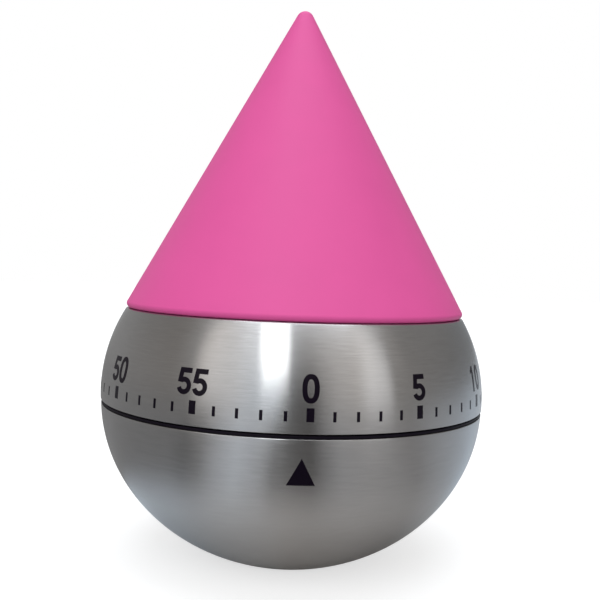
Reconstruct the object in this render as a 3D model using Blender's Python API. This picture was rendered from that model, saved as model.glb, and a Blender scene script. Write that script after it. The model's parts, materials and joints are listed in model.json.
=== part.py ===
"""Clockwork kitchen timer with a cone-shaped grip, a steel dial shell and a steel bowl.

Frame: origin at the centre of the underside of the foot, +Z up along the dial's axis, and -Y
towards the user. The cone, the dial shell and the dial carrier turn as one on the main arbor.
Below the seam stand the bowl, the chassis and the movement: a great wheel on the main arbor,
three more wheels up to the escape wheel, a balance with two pallet pins, a hammer and a gong.

Heights in the driving dimensions are measured from the seam plane, the lower edge of the dial
shell, and every piece hangs from an empty on its own joint's axis.
"""

import math

import bmesh
import bpy
from mathutils import Matrix

# ---------------------------------------------------------------- driving dimensions, in metres
# Outside form
SEAM_R = 0.0325  # dial shell at its lower edge
SHELL_ARC_R = 0.02606  # radius of the dial shell's bulge in section
SHELL_ARC_Z = 0.00133  # height of the widest point of that bulge
SHELL_TOP_Z = 0.0150  # upper face of the dial shell's flange
SHELL_EDGE_R = 0.0005  # bend from the bulge into the flange
CONE_TOP_Z = 0.06655  # tip of the cone
CONE_TIP_R = 0.00155  # rounding of the tip
CONE_EDGE_R = 0.00025  # rounding of the cone's lower edge
CONE_LIP = 0.00013  # how far that edge, if sharp, would stand out past the dial shell
BOWL_STEP = 0.0001  # how far the bowl's widest place stays inside the seam's radius
BOWL_HALF_HEIGHT = 0.02859  # semi-axis of the bowl's section along the axis
BOWL_CENTRE_Z = 0.00032  # centre of that section
BOWL_FLAT_R = 0.0126  # where the bowl's curve ends in the flat underside
SEAM_GAP = 0.00072  # open height between the dial shell and the bowl
SEAM_RING_T = 0.0004  # slip ring that lies on the bowl's edge in that gap
SEAM_RING_INSET = 0.0002

# Walls and clearances
STEEL_WALL = 0.0006
CONE_WALL = 0.0018
SEAT_GAP = 0.0003  # between two faces that rest on each other
PRESS_GAP = 0.0001  # between a shaft and what is pressed on it
RUN_GAP = 0.0001  # between a pivot and its hole
TURN_GAP = 0.0006  # between the turning dial shell and the chassis ring
TAP_SPARE = 0.0008  # open length of a tapped hole past its screw
CUT_SPARE = 0.0010  # how far a cutter runs past the face it opens

# Foot
FOOT_PROUD = 0.0003
FOOT_RECESS = 0.0010
FOOT_LIP = 0.0012  # width of the bowl's flat ring round the foot
FOOT_BORE_R = 0.0034
FOOT_EDGE_R = 0.0003

# Dial head
CARRIER_T = 0.0016
CARRIER_RIM_H = 0.0036
CARRIER_RIM_W = 0.0015
FLANGE_W = 0.0030  # how far the shell's flange reaches in from the bend
HUB_R = 0.0045
HUB_LOW_Z = 0.0080
SOCKET_TOP_Z = 0.0130
WINDOW_IN_R = 0.0070
WINDOW_OUT_R = 0.0155
CARRIER_WINDOWS = 6
CARRIER_SPOKE_W = 0.0024
BOSS_R = 0.0022
CAP_SCREWS = 3
CAP_SCREW_ANGLE = 30  # of the first one
CAP_SCREW_REACH = 0.0045  # into the cone, past the dial shell

# Screws
SCREW_SHANK_R = 0.0010
SCREW_HEAD_R = 0.0019
SCREW_HEAD_H = 0.0011
SCREW_HOLE_GAP = 0.0002
HEAD_FLAT = 0.75  # flat top of a head, as a share of its radius
HEAD_ROUND = 0.4  # rounded part of a head, as a share of its height
GONG_SCREW_HEAD_H = 0.0010
BOWL_SCREW_HEAD_R = 0.0027
BOWL_SCREW_HEAD_H = 0.00056

# Movement plates
PLATE_TOP_Z = -0.0010  # upper face of the front plate
PLATE_T = 0.0010
PLATE_SPACE = 0.0110  # between the plates
PLATE_LEG_GAP = 0.0018  # between the back plate and the legs
BACK_EDGE_W = 0.0009  # from a pillar to the edge of its lobe on the back plate
FRONT_EDGE_W = 0.0014  # from a pillar to the front plate's edge
PILLAR_R = 0.0016
PILLAR_CIRCLE_R = 0.0210
PILLAR_ANGLES = (80, 200, 320)
PILLAR_TAP_L = 0.0040
TENON_R = 0.0009
EAR_ANGLES = (20, 140, 260)
EAR_R = 0.0029

# Chassis
RING_LOW_Z = -0.0050
RING_TOP_Z = 0.0025
RING_WALL = 0.0015
RING_BEVEL = 0.0005
RING_SKIRT = 0.0012  # from the bowl's rim down to where the ring starts to follow the bowl
LUG_H = 0.0042
LUG_SCREW_L = 0.0036
LEG_T = 0.0015
LEG_W = 0.0050
LEG_ROOT = 0.0015  # how far a leg reaches into the ring and into the hub
CHASSIS_HUB_R = 0.0080
CHASSIS_HUB_T = 0.0018
CHASSIS_BOSS_R = 0.0028
CHASSIS_BOSS_H = 0.0013

# Main arbor, D-shaped where it enters the hub
MAIN_ARBOR_R = 0.0020
MAIN_PIVOT_R = 0.0012
MAIN_FLAT_X = 0.0013
MAIN_COLLAR_R = 0.0030
MAIN_COLLAR_T = 0.0005
MAIN_TOP_Z = 0.0125

# Clutch washer under the collar's push, a star of sprung petals
WASHER_PETALS = 6
WASHER_OUT_R = 0.0050
WASHER_IN_R = 0.0036
WASHER_T = 0.0004
PETAL_SHARE = 0.3  # of the way to the next petal

# Wheel train: teeth and modules of each pair, and where each arbor stands round the main one
GREAT_TEETH = 56
WHEEL_TEETH = 48
PINION_TEETH = 8
LOW_MODULE = 0.0004
HIGH_MODULE = 0.00035
# A tooth is its addendum and dedendum in modules, and its tip and root width in pitches.
WHEEL_TOOTH = (0.90, 1.15, 0.22, 0.60)
PINION_TOOTH = (0.65, 1.25, 0.20, 0.45)
SECOND_ANGLE = 0
THIRD_OFFSET = 0.00144  # from the great wheel's tips out to the third arbor's axis
ESCAPE_OFFSET = 0.00294
BALANCE_OFFSET = 0.00344
TRAIN_ARBOR_R = 0.0006
TRAIN_PIVOT_R = 0.0004
GREAT_WHEEL_T = 0.0010
SECOND_WHEEL_T = 0.0008
THIRD_WHEEL_T = 0.0007
ESCAPE_WHEEL_T = 0.0006
PINION_OVERHANG = 0.5  # of the gap between two wheels, past the wheel that drives the pinion
WHEEL_SPOKES = 4
WHEEL_SPOKE_W = 0.0012
WHEEL_RIM_W = 0.0012
GREAT_HUB_R = 0.0042
SECOND_HUB_R = 0.0025
THIRD_HUB_R = 0.0022

# Escapement
ESCAPE_TEETH = 18
ESCAPE_TIP_R = 0.0050
ESCAPE_ROOT_R = 0.0041
ESCAPE_TIP_SHARE = 0.05  # half widths of a tooth, in pitches
ESCAPE_ROOT_SHARE = 0.28
ESCAPE_SPOKES = 3
ESCAPE_SPOKE_W = 0.0009
ESCAPE_RIM_W = 0.0008
ESCAPE_HUB_R = 0.0016
BALANCE_TO_ESCAPE = 0.0075
PALLET_PIN_R = 0.00022
PALLET_PIN_GAP = 0.00012  # between a pin and the teeth's tips at mid-swing
PALLET_HALF_ANGLE = 24.5
PALLET_ROOT_R = 0.0011
PALLET_NOSE_R = 0.0005
PALLET_CROTCH_R = 0.0015
PALLET_T = 0.0006
BALANCE_OUT_R = 0.0060
BALANCE_IN_R = 0.0045
BALANCE_HUB_R = 0.0014
BALANCE_SPOKES = 2
BALANCE_SPOKE_W = 0.0018
BALANCE_T = 0.0007

# Mainspring, stop, release cam
SPRING_LIFT = 0.0012  # from the front plate up to the mainspring
SPRING_H = 0.0050
SPRING_T = 0.00035
SPRING_TURNS = 6.5
SPRING_POST_CIRCLE_R = 0.0135
SPRING_POST_R = 0.0008
SPRING_POST_ANGLE = 240
STOP_CIRCLE_R = 0.0180
STOP_ANGLE = 90
STOP_POST_R = 0.0007
STOP_POST_TOP_Z = 0.0101
POST_FOOT_R = 0.0014  # flange on which a post stands on the front plate
POST_FOOT_H = 0.0006
STOP_TAB_LOW_Z = 0.0086
STOP_TAB_W = 0.0011
STOP_TAB_L = 0.0026
DIAL_TRAVEL = 350  # degrees from zero to the longest time
CAM_R = 0.0095
CAM_LOW_Z = 0.0065
CAM_T = 0.0008
CAM_NOTCH_DEPTH = 0.0024
CAM_NOTCH_SPARE = 9  # degrees past the tail's nose at each end of the notch

# Hammer and gong
HAMMER_CIRCLE_R = 0.0190
HAMMER_ANGLE = 165
HAMMER_ARBOR_R = 0.0008
HAMMER_TRAVEL = 12
TAIL_LENGTH = 0.0110
TAIL_NOSE_R = 0.0008
LEVER_HUB_R = 0.0018
LEVER_HUB_OPEN = 45  # degrees each side of its lever where the hub's edge is left out
ARM_LENGTH = 0.0090
ARM_HALF_W = 0.0010
ARM_DROP = 0.0016  # from the back plate down to the arm
ARM_T = 0.0008
HEAD_TENON_R = 0.00045
HEAD_R = 0.0015
HEAD_H = 0.0026
STRIKE_GAP = 0.0004
GONG_R = 0.0135
GONG_WALL = 0.0008
GONG_DROP = 0.0014  # from the back plate down to the gong's rim
GONG_SCREW_SPACE = 0.0004  # between the gong's screw and the chassis
GONG_CROWN_R = 0.0040
GONG_OFFSET_R = 0.0040
GONG_OFFSET_ANGLE = 240
GONG_POST_R = 0.0016
GONG_TAP_FLOOR = 0.0009  # solid end of the gong post over its tapped hole

# Facets
SHELL_FACETS = 32
FINE_FACETS = 16
SMALL_FACETS = 8
PIVOT_FACETS = 6
CURVE_STEPS = 5
BOWL_STEPS = 8
ROUND_STEPS = 3
BALANCE_FACETS = 24
SPRING_STEPS = 12  # in each turn
SHARP_ANGLE = math.radians(32)  # edges sharper than this are not smoothed

# ---------------------------------------------------------------- sizes worked out from those
BOWL_R = SEAM_R - BOWL_STEP
BOWL_FLAT_Z = BOWL_CENTRE_Z - BOWL_HALF_HEIGHT * math.sqrt(1 - (BOWL_FLAT_R / BOWL_R) ** 2)
SEAM_Z = FOOT_PROUD - BOWL_FLAT_Z
RECESS_R = BOWL_FLAT_R - FOOT_LIP
RECESS_Z = BOWL_FLAT_Z + FOOT_RECESS
BOWL_FLOOR_Z = RECESS_Z + STEEL_WALL

PLATE_LOW_Z = PLATE_TOP_Z - PLATE_T
BACK_TOP_Z = PLATE_LOW_Z - PLATE_SPACE
BACK_LOW_Z = BACK_TOP_Z - PLATE_T
SPRING_LOW_Z = PLATE_TOP_Z + SPRING_LIFT
SCREW_HOLE_R = SCREW_SHANK_R + SCREW_HOLE_GAP
TAP_R = SCREW_SHANK_R + PRESS_GAP

# Five layers of wheels, spread evenly between the plates
WHEELS_T = GREAT_WHEEL_T + SECOND_WHEEL_T + THIRD_WHEEL_T + ESCAPE_WHEEL_T + BALANCE_T
LAYER_GAP = (PLATE_SPACE - WHEELS_T) / 6
GREAT_WHEEL_Z = PLATE_LOW_Z - LAYER_GAP - GREAT_WHEEL_T
SECOND_WHEEL_Z = GREAT_WHEEL_Z - LAYER_GAP - SECOND_WHEEL_T
THIRD_WHEEL_Z = SECOND_WHEEL_Z - LAYER_GAP - THIRD_WHEEL_T
ESCAPE_WHEEL_Z = THIRD_WHEEL_Z - LAYER_GAP - ESCAPE_WHEEL_T
BALANCE_Z = ESCAPE_WHEEL_Z - LAYER_GAP - BALANCE_T

RING_R = SEAM_R - STEEL_WALL - TURN_GAP
RING_IN_R = RING_R - RING_WALL
EAR_CIRCLE_R = RING_IN_R - EAR_R - SEAT_GAP
CHASSIS_HUB_Z = BOWL_FLOOR_Z + SEAT_GAP
CHASSIS_HUB_TOP_Z = CHASSIS_HUB_Z + CHASSIS_HUB_T
CHASSIS_BOSS_TOP_Z = CHASSIS_HUB_TOP_Z + CHASSIS_BOSS_H
ARM_Z = BACK_LOW_Z - ARM_DROP
GONG_RIM_Z = BACK_LOW_Z - GONG_DROP
GONG_CROWN_Z = CHASSIS_BOSS_TOP_Z + GONG_SCREW_SPACE + GONG_SCREW_HEAD_H + SEAT_GAP

GREAT_TIP_R = (GREAT_TEETH / 2 + WHEEL_TOOTH[0]) * LOW_MODULE
THIRD_DISTANCE = GREAT_TIP_R + THIRD_OFFSET
ESCAPE_DISTANCE = GREAT_TIP_R + ESCAPE_OFFSET
BALANCE_DISTANCE = GREAT_TIP_R + BALANCE_OFFSET
SECOND_DISTANCE = (GREAT_TEETH + PINION_TEETH) * LOW_MODULE / 2
SECOND_TO_THIRD = (WHEEL_TEETH + PINION_TEETH) * LOW_MODULE / 2
THIRD_TO_ESCAPE = (WHEEL_TEETH + PINION_TEETH) * HIGH_MODULE / 2

STEEL = ((0.55, 0.54, 0.53), 0.30, 1.0)
BRASS = ((0.72, 0.53, 0.22), 0.32, 1.0)
PINK = ((0.80, 0.13, 0.38), 0.45, 0.0)
BLACK = ((0.02, 0.02, 0.022), 0.50, 0.0)
RUBBER = ((0.03, 0.03, 0.03), 0.85, 0.0)


# ---------------------------------------------------------------- points
def polar(radius, degrees, centre=(0.0, 0.0)):
    angle = math.radians(degrees)
    return (centre[0] + radius * math.cos(angle), centre[1] + radius * math.sin(angle))


def arc(radius, start, end, steps, centre=(0.0, 0.0)):
    """Points on an arc, with its angles in degrees and both ends included."""
    return [polar(radius, start + (end - start) * k / steps, centre) for k in range(steps + 1)]


def circle(radius, facets, centre=(0.0, 0.0)):
    return arc(radius, 0, 360, facets, centre)[:-1]


def apart(a, b):
    return math.hypot(b[0] - a[0], b[1] - a[1])


def direction(a, b):
    return math.degrees(math.atan2(b[1] - a[1], b[0] - a[0]))


def third_corner(a, b, from_a, from_b, side):
    """The point at two given distances from a and b, on the left of a to b where side is 1."""
    span = apart(a, b)
    turn = math.acos((from_a**2 + span**2 - from_b**2) / (2 * from_a * span))
    return polar(from_a, direction(a, b) + side * math.degrees(turn), a)


def turn_points(points, degrees):
    cos, sin = math.cos(math.radians(degrees)), math.sin(math.radians(degrees))
    return [(x * cos - y * sin, x * sin + y * cos) for x, y in points]


def gear_outline(teeth, module, tooth, phase):
    """Straight-flanked teeth, the first one centred on the angle phase, in degrees."""
    addendum, dedendum, tip, root = tooth
    pitch_r = teeth * module / 2
    tip_r = pitch_r + addendum * module
    root_r = pitch_r - dedendum * module
    pitch = 360 / teeth
    corners = ((root_r, -root / 2), (tip_r, -tip / 2), (tip_r, tip / 2), (root_r, root / 2))
    points = []
    for k in range(teeth):
        for radius, share in corners:
            points.append(polar(radius, phase + k * pitch + share * pitch * pitch_r / radius))
    return points


def meshed_phase(wheel_teeth, pinion_teeth, toward):
    """Phase of a pinion that puts a gap of it over a tooth of its wheel, whose first tooth is on +X.
    The pinion lies in the direction toward, in degrees."""
    gap_share = wheel_teeth * toward / 360 - 0.5
    return toward + 180 + 360 / pinion_teeth * gap_share


def windows(count, inner_r, outer_r, spoke_w):
    """Openings between the spokes of a wheel."""
    loops = []
    for k in range(count):
        start, end = 360 * k / count, 360 * (k + 1) / count
        trim_out = math.degrees(spoke_w / 2 / outer_r)
        trim_in = math.degrees(spoke_w / 2 / inner_r)
        outer = arc(outer_r, start + trim_out, end - trim_out, ROUND_STEPS)
        inner = arc(inner_r, end - trim_in, start + trim_in, 1)
        loops.append(outer + inner)
    return loops


def d_outline(radius, flat_x):
    """A circle with its +X side cut off flat."""
    half = math.degrees(math.acos(flat_x / radius))
    return arc(radius, half, 360 - half, SMALL_FACETS)


# ---------------------------------------------------------------- turned outer forms
def shell_radius(z, inset=0.0):
    """Outer radius of the dial shell's bulge at a height above the seam, less an inset."""
    arc_r = SHELL_ARC_R - inset
    foot = math.sqrt(SHELL_ARC_R**2 - SHELL_ARC_Z**2)
    return SEAM_R - foot + math.sqrt(arc_r**2 - (z - SHELL_ARC_Z) ** 2)


def shell_bend():
    """Centre radius of the bend from bulge to flange, and the angle at which the bulge runs into it."""
    arc_centre_r = shell_radius(SHELL_ARC_Z) - SHELL_ARC_R
    bend_z = SHELL_TOP_Z - SHELL_EDGE_R
    reach = SHELL_ARC_R - SHELL_EDGE_R
    angle = math.asin((bend_z - SHELL_ARC_Z) / reach)
    return arc_centre_r + reach * math.cos(angle), math.degrees(angle)


def shell_outside():
    """The bulge from the seam up, and its bend into the flange."""
    bend_r, bend_angle = shell_bend()
    arc_centre = (shell_radius(SHELL_ARC_Z) - SHELL_ARC_R, SHELL_ARC_Z)
    low = -math.degrees(math.asin(SHELL_ARC_Z / SHELL_ARC_R))
    bulge = arc(SHELL_ARC_R, low, bend_angle, CURVE_STEPS, arc_centre)
    bend_centre = (bend_r, SHELL_TOP_Z - SHELL_EDGE_R)
    return bulge + arc(SHELL_EDGE_R, bend_angle, 90, ROUND_STEPS, bend_centre)[1:]


def shell_inside():
    """The bulge less the wall, up to the corner under the flange."""
    inner_r = SHELL_ARC_R - STEEL_WALL
    arc_centre = (shell_radius(SHELL_ARC_Z) - SHELL_ARC_R, SHELL_ARC_Z)
    low = -math.degrees(math.asin(SHELL_ARC_Z / inner_r))
    high = math.degrees(math.asin((SHELL_TOP_Z - STEEL_WALL - SHELL_ARC_Z) / inner_r))
    return arc(inner_r, low, high, CURVE_STEPS, arc_centre)


def cone_line():
    """Base radius, base height and half-angle of the cone's side, which is tangent to its tip."""
    base_z = SHELL_TOP_Z + SEAT_GAP
    base_r = shell_bend()[0] + SHELL_EDGE_R + CONE_LIP
    rise = CONE_TOP_Z - CONE_TIP_R - base_z
    slant = math.hypot(base_r, rise)
    half = math.acos(CONE_TIP_R / slant) - math.atan2(rise, base_r)
    return base_r, base_z, half


def bowl_point(angle, depth):
    """A point on the bowl's section, angle degrees below its widest place, and depth inside it."""
    cos, sin = math.cos(math.radians(angle)), -math.sin(math.radians(angle))
    normal = math.hypot(cos / BOWL_R, sin / BOWL_HALF_HEIGHT)
    r = BOWL_R * cos - depth * cos / BOWL_R / normal
    z = BOWL_CENTRE_Z + BOWL_HALF_HEIGHT * sin - depth * sin / BOWL_HALF_HEIGHT / normal
    return r, z


def bowl_angle(z, depth):
    """The angle at which bowl_point reaches a height, found by halving."""
    low, high = 0.0, 90.0
    for _ in range(50):
        middle = (low + high) / 2
        low, high = (low, middle) if bowl_point(middle, depth)[1] < z else (middle, high)
    return low


def bowl_curve(start_z, end_z, depth, steps):
    start, end = bowl_angle(start_z, depth), bowl_angle(end_z, depth)
    return [bowl_point(start + (end - start) * k / steps, depth) for k in range(steps + 1)]


# The chassis hangs inside the bowl, and the plates hang inside the chassis.
CHASSIS_DEPTH = STEEL_WALL + SEAT_GAP + PRESS_GAP
LEG_DEPTH = CHASSIS_DEPTH + 2 * PRESS_GAP
LEG_IN_R = bowl_curve(BACK_LOW_Z, CHASSIS_HUB_TOP_Z, LEG_DEPTH + LEG_T, 1)[0][0]
BACK_PLATE_R = LEG_IN_R - PLATE_LEG_GAP
FRONT_PLATE_R = PILLAR_CIRCLE_R + PILLAR_R + FRONT_EDGE_W


# ---------------------------------------------------------------- solids
def finish(obj, look):
    colour, roughness, metallic = look
    material = bpy.data.materials.new(obj.name + "_finish")
    material.use_nodes = True
    shader = material.node_tree.nodes["Principled BSDF"]
    shader.inputs["Base Color"].default_value = (*colour, 1.0)
    shader.inputs["Roughness"].default_value = roughness
    shader.inputs["Metallic"].default_value = metallic
    obj.data.materials.clear()
    obj.data.materials.append(material)
    obj.data.shade_smooth()
    obj.data.set_sharp_from_angle(angle=SHARP_ANGLE)
    return obj


def solid(name, mesh_builder, look):
    """An object from the closed mesh in a bmesh, with its faces pointing out."""
    bmesh.ops.remove_doubles(mesh_builder, verts=mesh_builder.verts, dist=1e-7)
    bmesh.ops.recalc_face_normals(mesh_builder, faces=mesh_builder.faces)
    mesh = bpy.data.meshes.new(name)
    mesh_builder.to_mesh(mesh)
    mesh_builder.free()
    obj = bpy.data.objects.new(name, mesh)
    bpy.context.scene.collection.objects.link(obj)
    return finish(obj, look)


def turned(name, profile, facets, look):
    """A profile of (radius, height) points turned about Z, closed unless both ends are on the axis."""
    builder = bmesh.new()
    corners = [builder.verts.new((r, 0.0, z)) for r, z in profile]
    edges = [builder.edges.new(pair) for pair in zip(corners, corners[1:])]
    if profile[0][0] > 0 or profile[-1][0] > 0:
        edges.append(builder.edges.new((corners[-1], corners[0])))
    bmesh.ops.spin(
        builder,
        geom=corners + edges,
        cent=(0, 0, 0),
        axis=(0, 0, 1),
        angle=2 * math.pi,
        steps=facets,
        use_merge=True,
    )
    return solid(name, builder, look)


def rod(name, radius, low, high, facets, look):
    return turned(name, [(0, high), (radius, high), (radius, low), (0, low)], facets, look)


def prism(name, outline, holes, low, high, look):
    """A flat piece with openings, filled as a 2D curve at a thousand times its size, where the
    fill's own merge distance is far below the smallest feature."""
    enlarged = 1000
    curve = bpy.data.curves.new(name + "_outline", "CURVE")
    curve.dimensions = "2D"
    curve.fill_mode = "BOTH"
    curve.extrude = (high - low) / 2 * enlarged
    for loop in [outline, *holes]:
        spline = curve.splines.new("POLY")
        spline.points.add(len(loop) - 1)
        for point, (x, y) in zip(spline.points, loop):
            point.co = (x * enlarged, y * enlarged, 0, 1)
        spline.use_cyclic_u = True
    filled = bpy.data.objects.new(name + "_outline", curve)
    mesh = bpy.data.meshes.new_from_object(filled)
    builder = bmesh.new()
    builder.from_mesh(mesh)
    bpy.data.objects.remove(filled)
    bpy.data.curves.remove(curve)
    bpy.data.meshes.remove(mesh)
    bmesh.ops.scale(builder, vec=(1 / enlarged,) * 3, verts=builder.verts)
    bmesh.ops.translate(builder, vec=(0, 0, (low + high) / 2), verts=builder.verts)
    return solid(name, builder, look)


def combine(obj, operation, tools):
    """The object with its tools joined on or cut away. The tools are used up."""
    for tool in tools:
        modifier = obj.modifiers.new(tool.name, "BOOLEAN")
        modifier.operation = operation
        modifier.solver = "EXACT"
        modifier.object = tool
    bpy.context.view_layer.update()
    graph = bpy.context.evaluated_depsgraph_get()
    mesh = bpy.data.meshes.new_from_object(obj.evaluated_get(graph))
    material = obj.data.materials[0]
    obj.modifiers.clear()
    obj.data = mesh
    mesh.name = obj.name
    mesh.materials.clear()
    mesh.materials.append(material)
    for tool in tools:
        bpy.data.objects.remove(tool)
    mesh.shade_smooth()
    mesh.set_sharp_from_angle(angle=SHARP_ANGLE)
    return obj


def fuse(obj, *tools):
    return combine(obj, "UNION", tools)


def carve(obj, *tools):
    return combine(obj, "DIFFERENCE", tools)


def move(obj, x, y, z=0.0):
    """Shifts the mesh under its object's origin."""
    obj.data.transform(Matrix.Translation((x, y, z)))
    return obj


def spin(obj, degrees):
    """Turns the mesh about Z under its object's origin."""
    obj.data.transform(Matrix.Rotation(math.radians(degrees), 4, "Z"))
    return obj


def hang(obj, parent, x=0.0, y=0.0):
    obj.parent = parent
    obj.location = (x, y, 0)
    return obj


def axis_empty(name, parent, place=(0.0, 0.0), height=0.0):
    empty = bpy.data.objects.new(name, None)
    empty.empty_display_size = 0.01
    bpy.context.scene.collection.objects.link(empty)
    empty.parent = parent
    empty.location = (place[0], place[1], height)
    return empty


def screw(name, seat_z, tip_z, up, head_r, head_h, parent, place):
    """A pan-head screw. Its head rests a seat's gap off seat_z, and its shank ends at tip_z."""
    way = 1 if up else -1
    under = seat_z + way * SEAT_GAP
    top = under + way * head_h
    crown = head_r * HEAD_FLAT
    profile = [
        (0, top),
        (crown, top),
        (head_r, top - way * head_h * HEAD_ROUND),
        (head_r, under),
        (SCREW_SHANK_R, under),
        (SCREW_SHANK_R, tip_z + way * SCREW_SHANK_R),
        (0, tip_z),
    ]
    return hang(turned(name, profile, SMALL_FACETS, STEEL), parent, *place)


# ---------------------------------------------------------------- where the arbors stand
MAIN = (0.0, 0.0)
SECOND = polar(SECOND_DISTANCE, SECOND_ANGLE)
THIRD = third_corner(MAIN, SECOND, THIRD_DISTANCE, SECOND_TO_THIRD, 1)
ESCAPE = third_corner(MAIN, THIRD, ESCAPE_DISTANCE, THIRD_TO_ESCAPE, 1)
BALANCE = third_corner(MAIN, ESCAPE, BALANCE_DISTANCE, BALANCE_TO_ESCAPE, 1)
HAMMER = polar(HAMMER_CIRCLE_R, HAMMER_ANGLE)
GONG = polar(GONG_OFFSET_R, GONG_OFFSET_ANGLE)
SPRING_POST = polar(SPRING_POST_CIRCLE_R, SPRING_POST_ANGLE)
STOP_POST = polar(STOP_CIRCLE_R, STOP_ANGLE)
PILLARS = [polar(PILLAR_CIRCLE_R, angle) for angle in PILLAR_ANGLES]
EARS = [polar(EAR_CIRCLE_R, angle) for angle in EAR_ANGLES]
HAMMER_STRUCK = third_corner(GONG, HAMMER, GONG_R + HEAD_R + STRIKE_GAP, ARM_LENGTH, 1)
TAIL_NOSE = third_corner(MAIN, HAMMER, CAM_R + TAIL_NOSE_R + SEAT_GAP, TAIL_LENGTH, 1)


# ---------------------------------------------------------------- dial head
def boss_circle_r():
    """The bosses stand just inside the shell's flange."""
    return shell_bend()[0] - FLANGE_W - SEAT_GAP - BOSS_R


def boss_places():
    return [polar(boss_circle_r(), CAP_SCREW_ANGLE + 360 * k / CAP_SCREWS) for k in range(CAP_SCREWS)]


def make_cone_cap(head):
    base_r, base_z, half = cone_line()
    lean = math.degrees(half)
    edge_r = base_r - CONE_EDGE_R * math.tan((math.pi / 2 + half) / 2)
    edge = arc(CONE_EDGE_R, -90, lean, ROUND_STEPS, (edge_r, base_z + CONE_EDGE_R))
    tip = arc(CONE_TIP_R, lean, 90, ROUND_STEPS, (0, CONE_TOP_Z - CONE_TIP_R))
    tip[-1] = (0, CONE_TOP_Z)
    outside = (edge + tip)[::-1]
    inner_r = base_r - CONE_WALL / math.cos(half)
    inner_tip_z = base_z + (inner_r - CONE_TIP_R) / math.tan(half)
    inside = [(inner_r, base_z), (CONE_TIP_R, inner_tip_z), (0, inner_tip_z)]
    cap = turned("cone_cap", outside + inside, SHELL_FACETS, PINK)
    boss_low = SHELL_TOP_Z - STEEL_WALL
    boss_reach = boss_circle_r() + BOSS_R + CONE_WALL / 3
    boss_top = base_z + (base_r - boss_reach) / math.tan(half)
    pilot_top = SHELL_TOP_Z + CAP_SCREW_REACH + TAP_SPARE
    bosses = []
    pilots = []
    for place in boss_places():
        bosses.append(move(rod("boss", BOSS_R, boss_low, boss_top, SMALL_FACETS, PINK), *place))
        pilot = rod("pilot", TAP_R, boss_low - CUT_SPARE, pilot_top, SMALL_FACETS, PINK)
        pilots.append(move(pilot, *place))
    fuse(cap, *bosses)
    carve(cap, *pilots)
    return hang(cap, head)


def make_upper_shell(head):
    flange_r = shell_bend()[0] - FLANGE_W
    flange = [(flange_r, SHELL_TOP_Z - STEEL_WALL), (flange_r, SHELL_TOP_Z)]
    profile = shell_outside()[::-1] + shell_inside() + flange
    return hang(turned("upper_shell", profile, SHELL_FACETS, STEEL), head)


def make_dial_carrier(head):
    top = SHELL_TOP_Z - STEEL_WALL - SEAT_GAP
    low = top - CARRIER_T
    rim_r = shell_radius(top, STEEL_WALL) - SEAT_GAP
    holes = windows(CARRIER_WINDOWS, WINDOW_IN_R, WINDOW_OUT_R, CARRIER_SPOKE_W)
    holes += [circle(SCREW_HOLE_R, SMALL_FACETS, place) for place in boss_places()]
    carrier = prism("dial_carrier", circle(rim_r, SHELL_FACETS), holes, low, top, BLACK)
    middle = (low + top) / 2
    rim_out = rim_r - PRESS_GAP
    rim_in = rim_r - CARRIER_RIM_W
    rim_low = top - CARRIER_RIM_H
    rim = turned(
        "rim",
        [(rim_out, middle), (rim_out, rim_low), (rim_in, rim_low), (rim_in, middle)],
        SHELL_FACETS,
        BLACK,
    )
    hub = rod("hub", HUB_R, HUB_LOW_Z, middle, FINE_FACETS, BLACK)
    tab_in = STOP_CIRCLE_R - STOP_TAB_L / 2
    tab_out = STOP_CIRCLE_R + STOP_TAB_L / 2
    tab_w = STOP_TAB_W / 2
    corners = [(tab_in, -tab_w), (tab_out, -tab_w), (tab_out, tab_w), (tab_in, tab_w)]
    tab = prism("tab", corners, [], STOP_TAB_LOW_Z, middle, BLACK)
    spin(tab, STOP_ANGLE - (360 - DIAL_TRAVEL) / 2)
    fuse(carrier, rim, hub, tab)
    socket_outline = d_outline(MAIN_ARBOR_R + PRESS_GAP, MAIN_FLAT_X + PRESS_GAP)
    socket = prism("socket", socket_outline, [], HUB_LOW_Z - CUT_SPARE, SOCKET_TOP_Z, BLACK)
    return hang(carve(carrier, socket), head)


def make_cap_screws(head):
    seat = SHELL_TOP_Z - STEEL_WALL - SEAT_GAP - CARRIER_T
    tip = SHELL_TOP_Z + CAP_SCREW_REACH
    for k, place in enumerate(boss_places()):
        name = f"cap_screw_{k + 1}"
        screw(name, seat, tip, False, SCREW_HEAD_R, SCREW_HEAD_H, head, place)


def make_main_arbor(head):
    pivot_low = BACK_LOW_Z - PRESS_GAP
    shoulder_low = BACK_TOP_Z + SEAT_GAP
    collar_top = GREAT_WHEEL_Z - SEAT_GAP
    collar_low = collar_top - MAIN_COLLAR_T
    round_top = HUB_LOW_Z - SEAT_GAP
    profile = [
        (0, round_top),
        (MAIN_ARBOR_R, round_top),
        (MAIN_ARBOR_R, collar_top),
        (MAIN_COLLAR_R, collar_top),
        (MAIN_COLLAR_R, collar_low),
        (MAIN_ARBOR_R, collar_low),
        (MAIN_ARBOR_R, shoulder_low),
        (MAIN_PIVOT_R, shoulder_low),
        (MAIN_PIVOT_R, pivot_low),
        (0, pivot_low),
    ]
    arbor = turned("main_arbor", profile, SMALL_FACETS, STEEL)
    outline = d_outline(MAIN_ARBOR_R, MAIN_FLAT_X)
    end = prism("d_end", outline, [], round_top - SEAT_GAP, MAIN_TOP_Z, STEEL)
    return hang(fuse(arbor, end), head)


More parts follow.
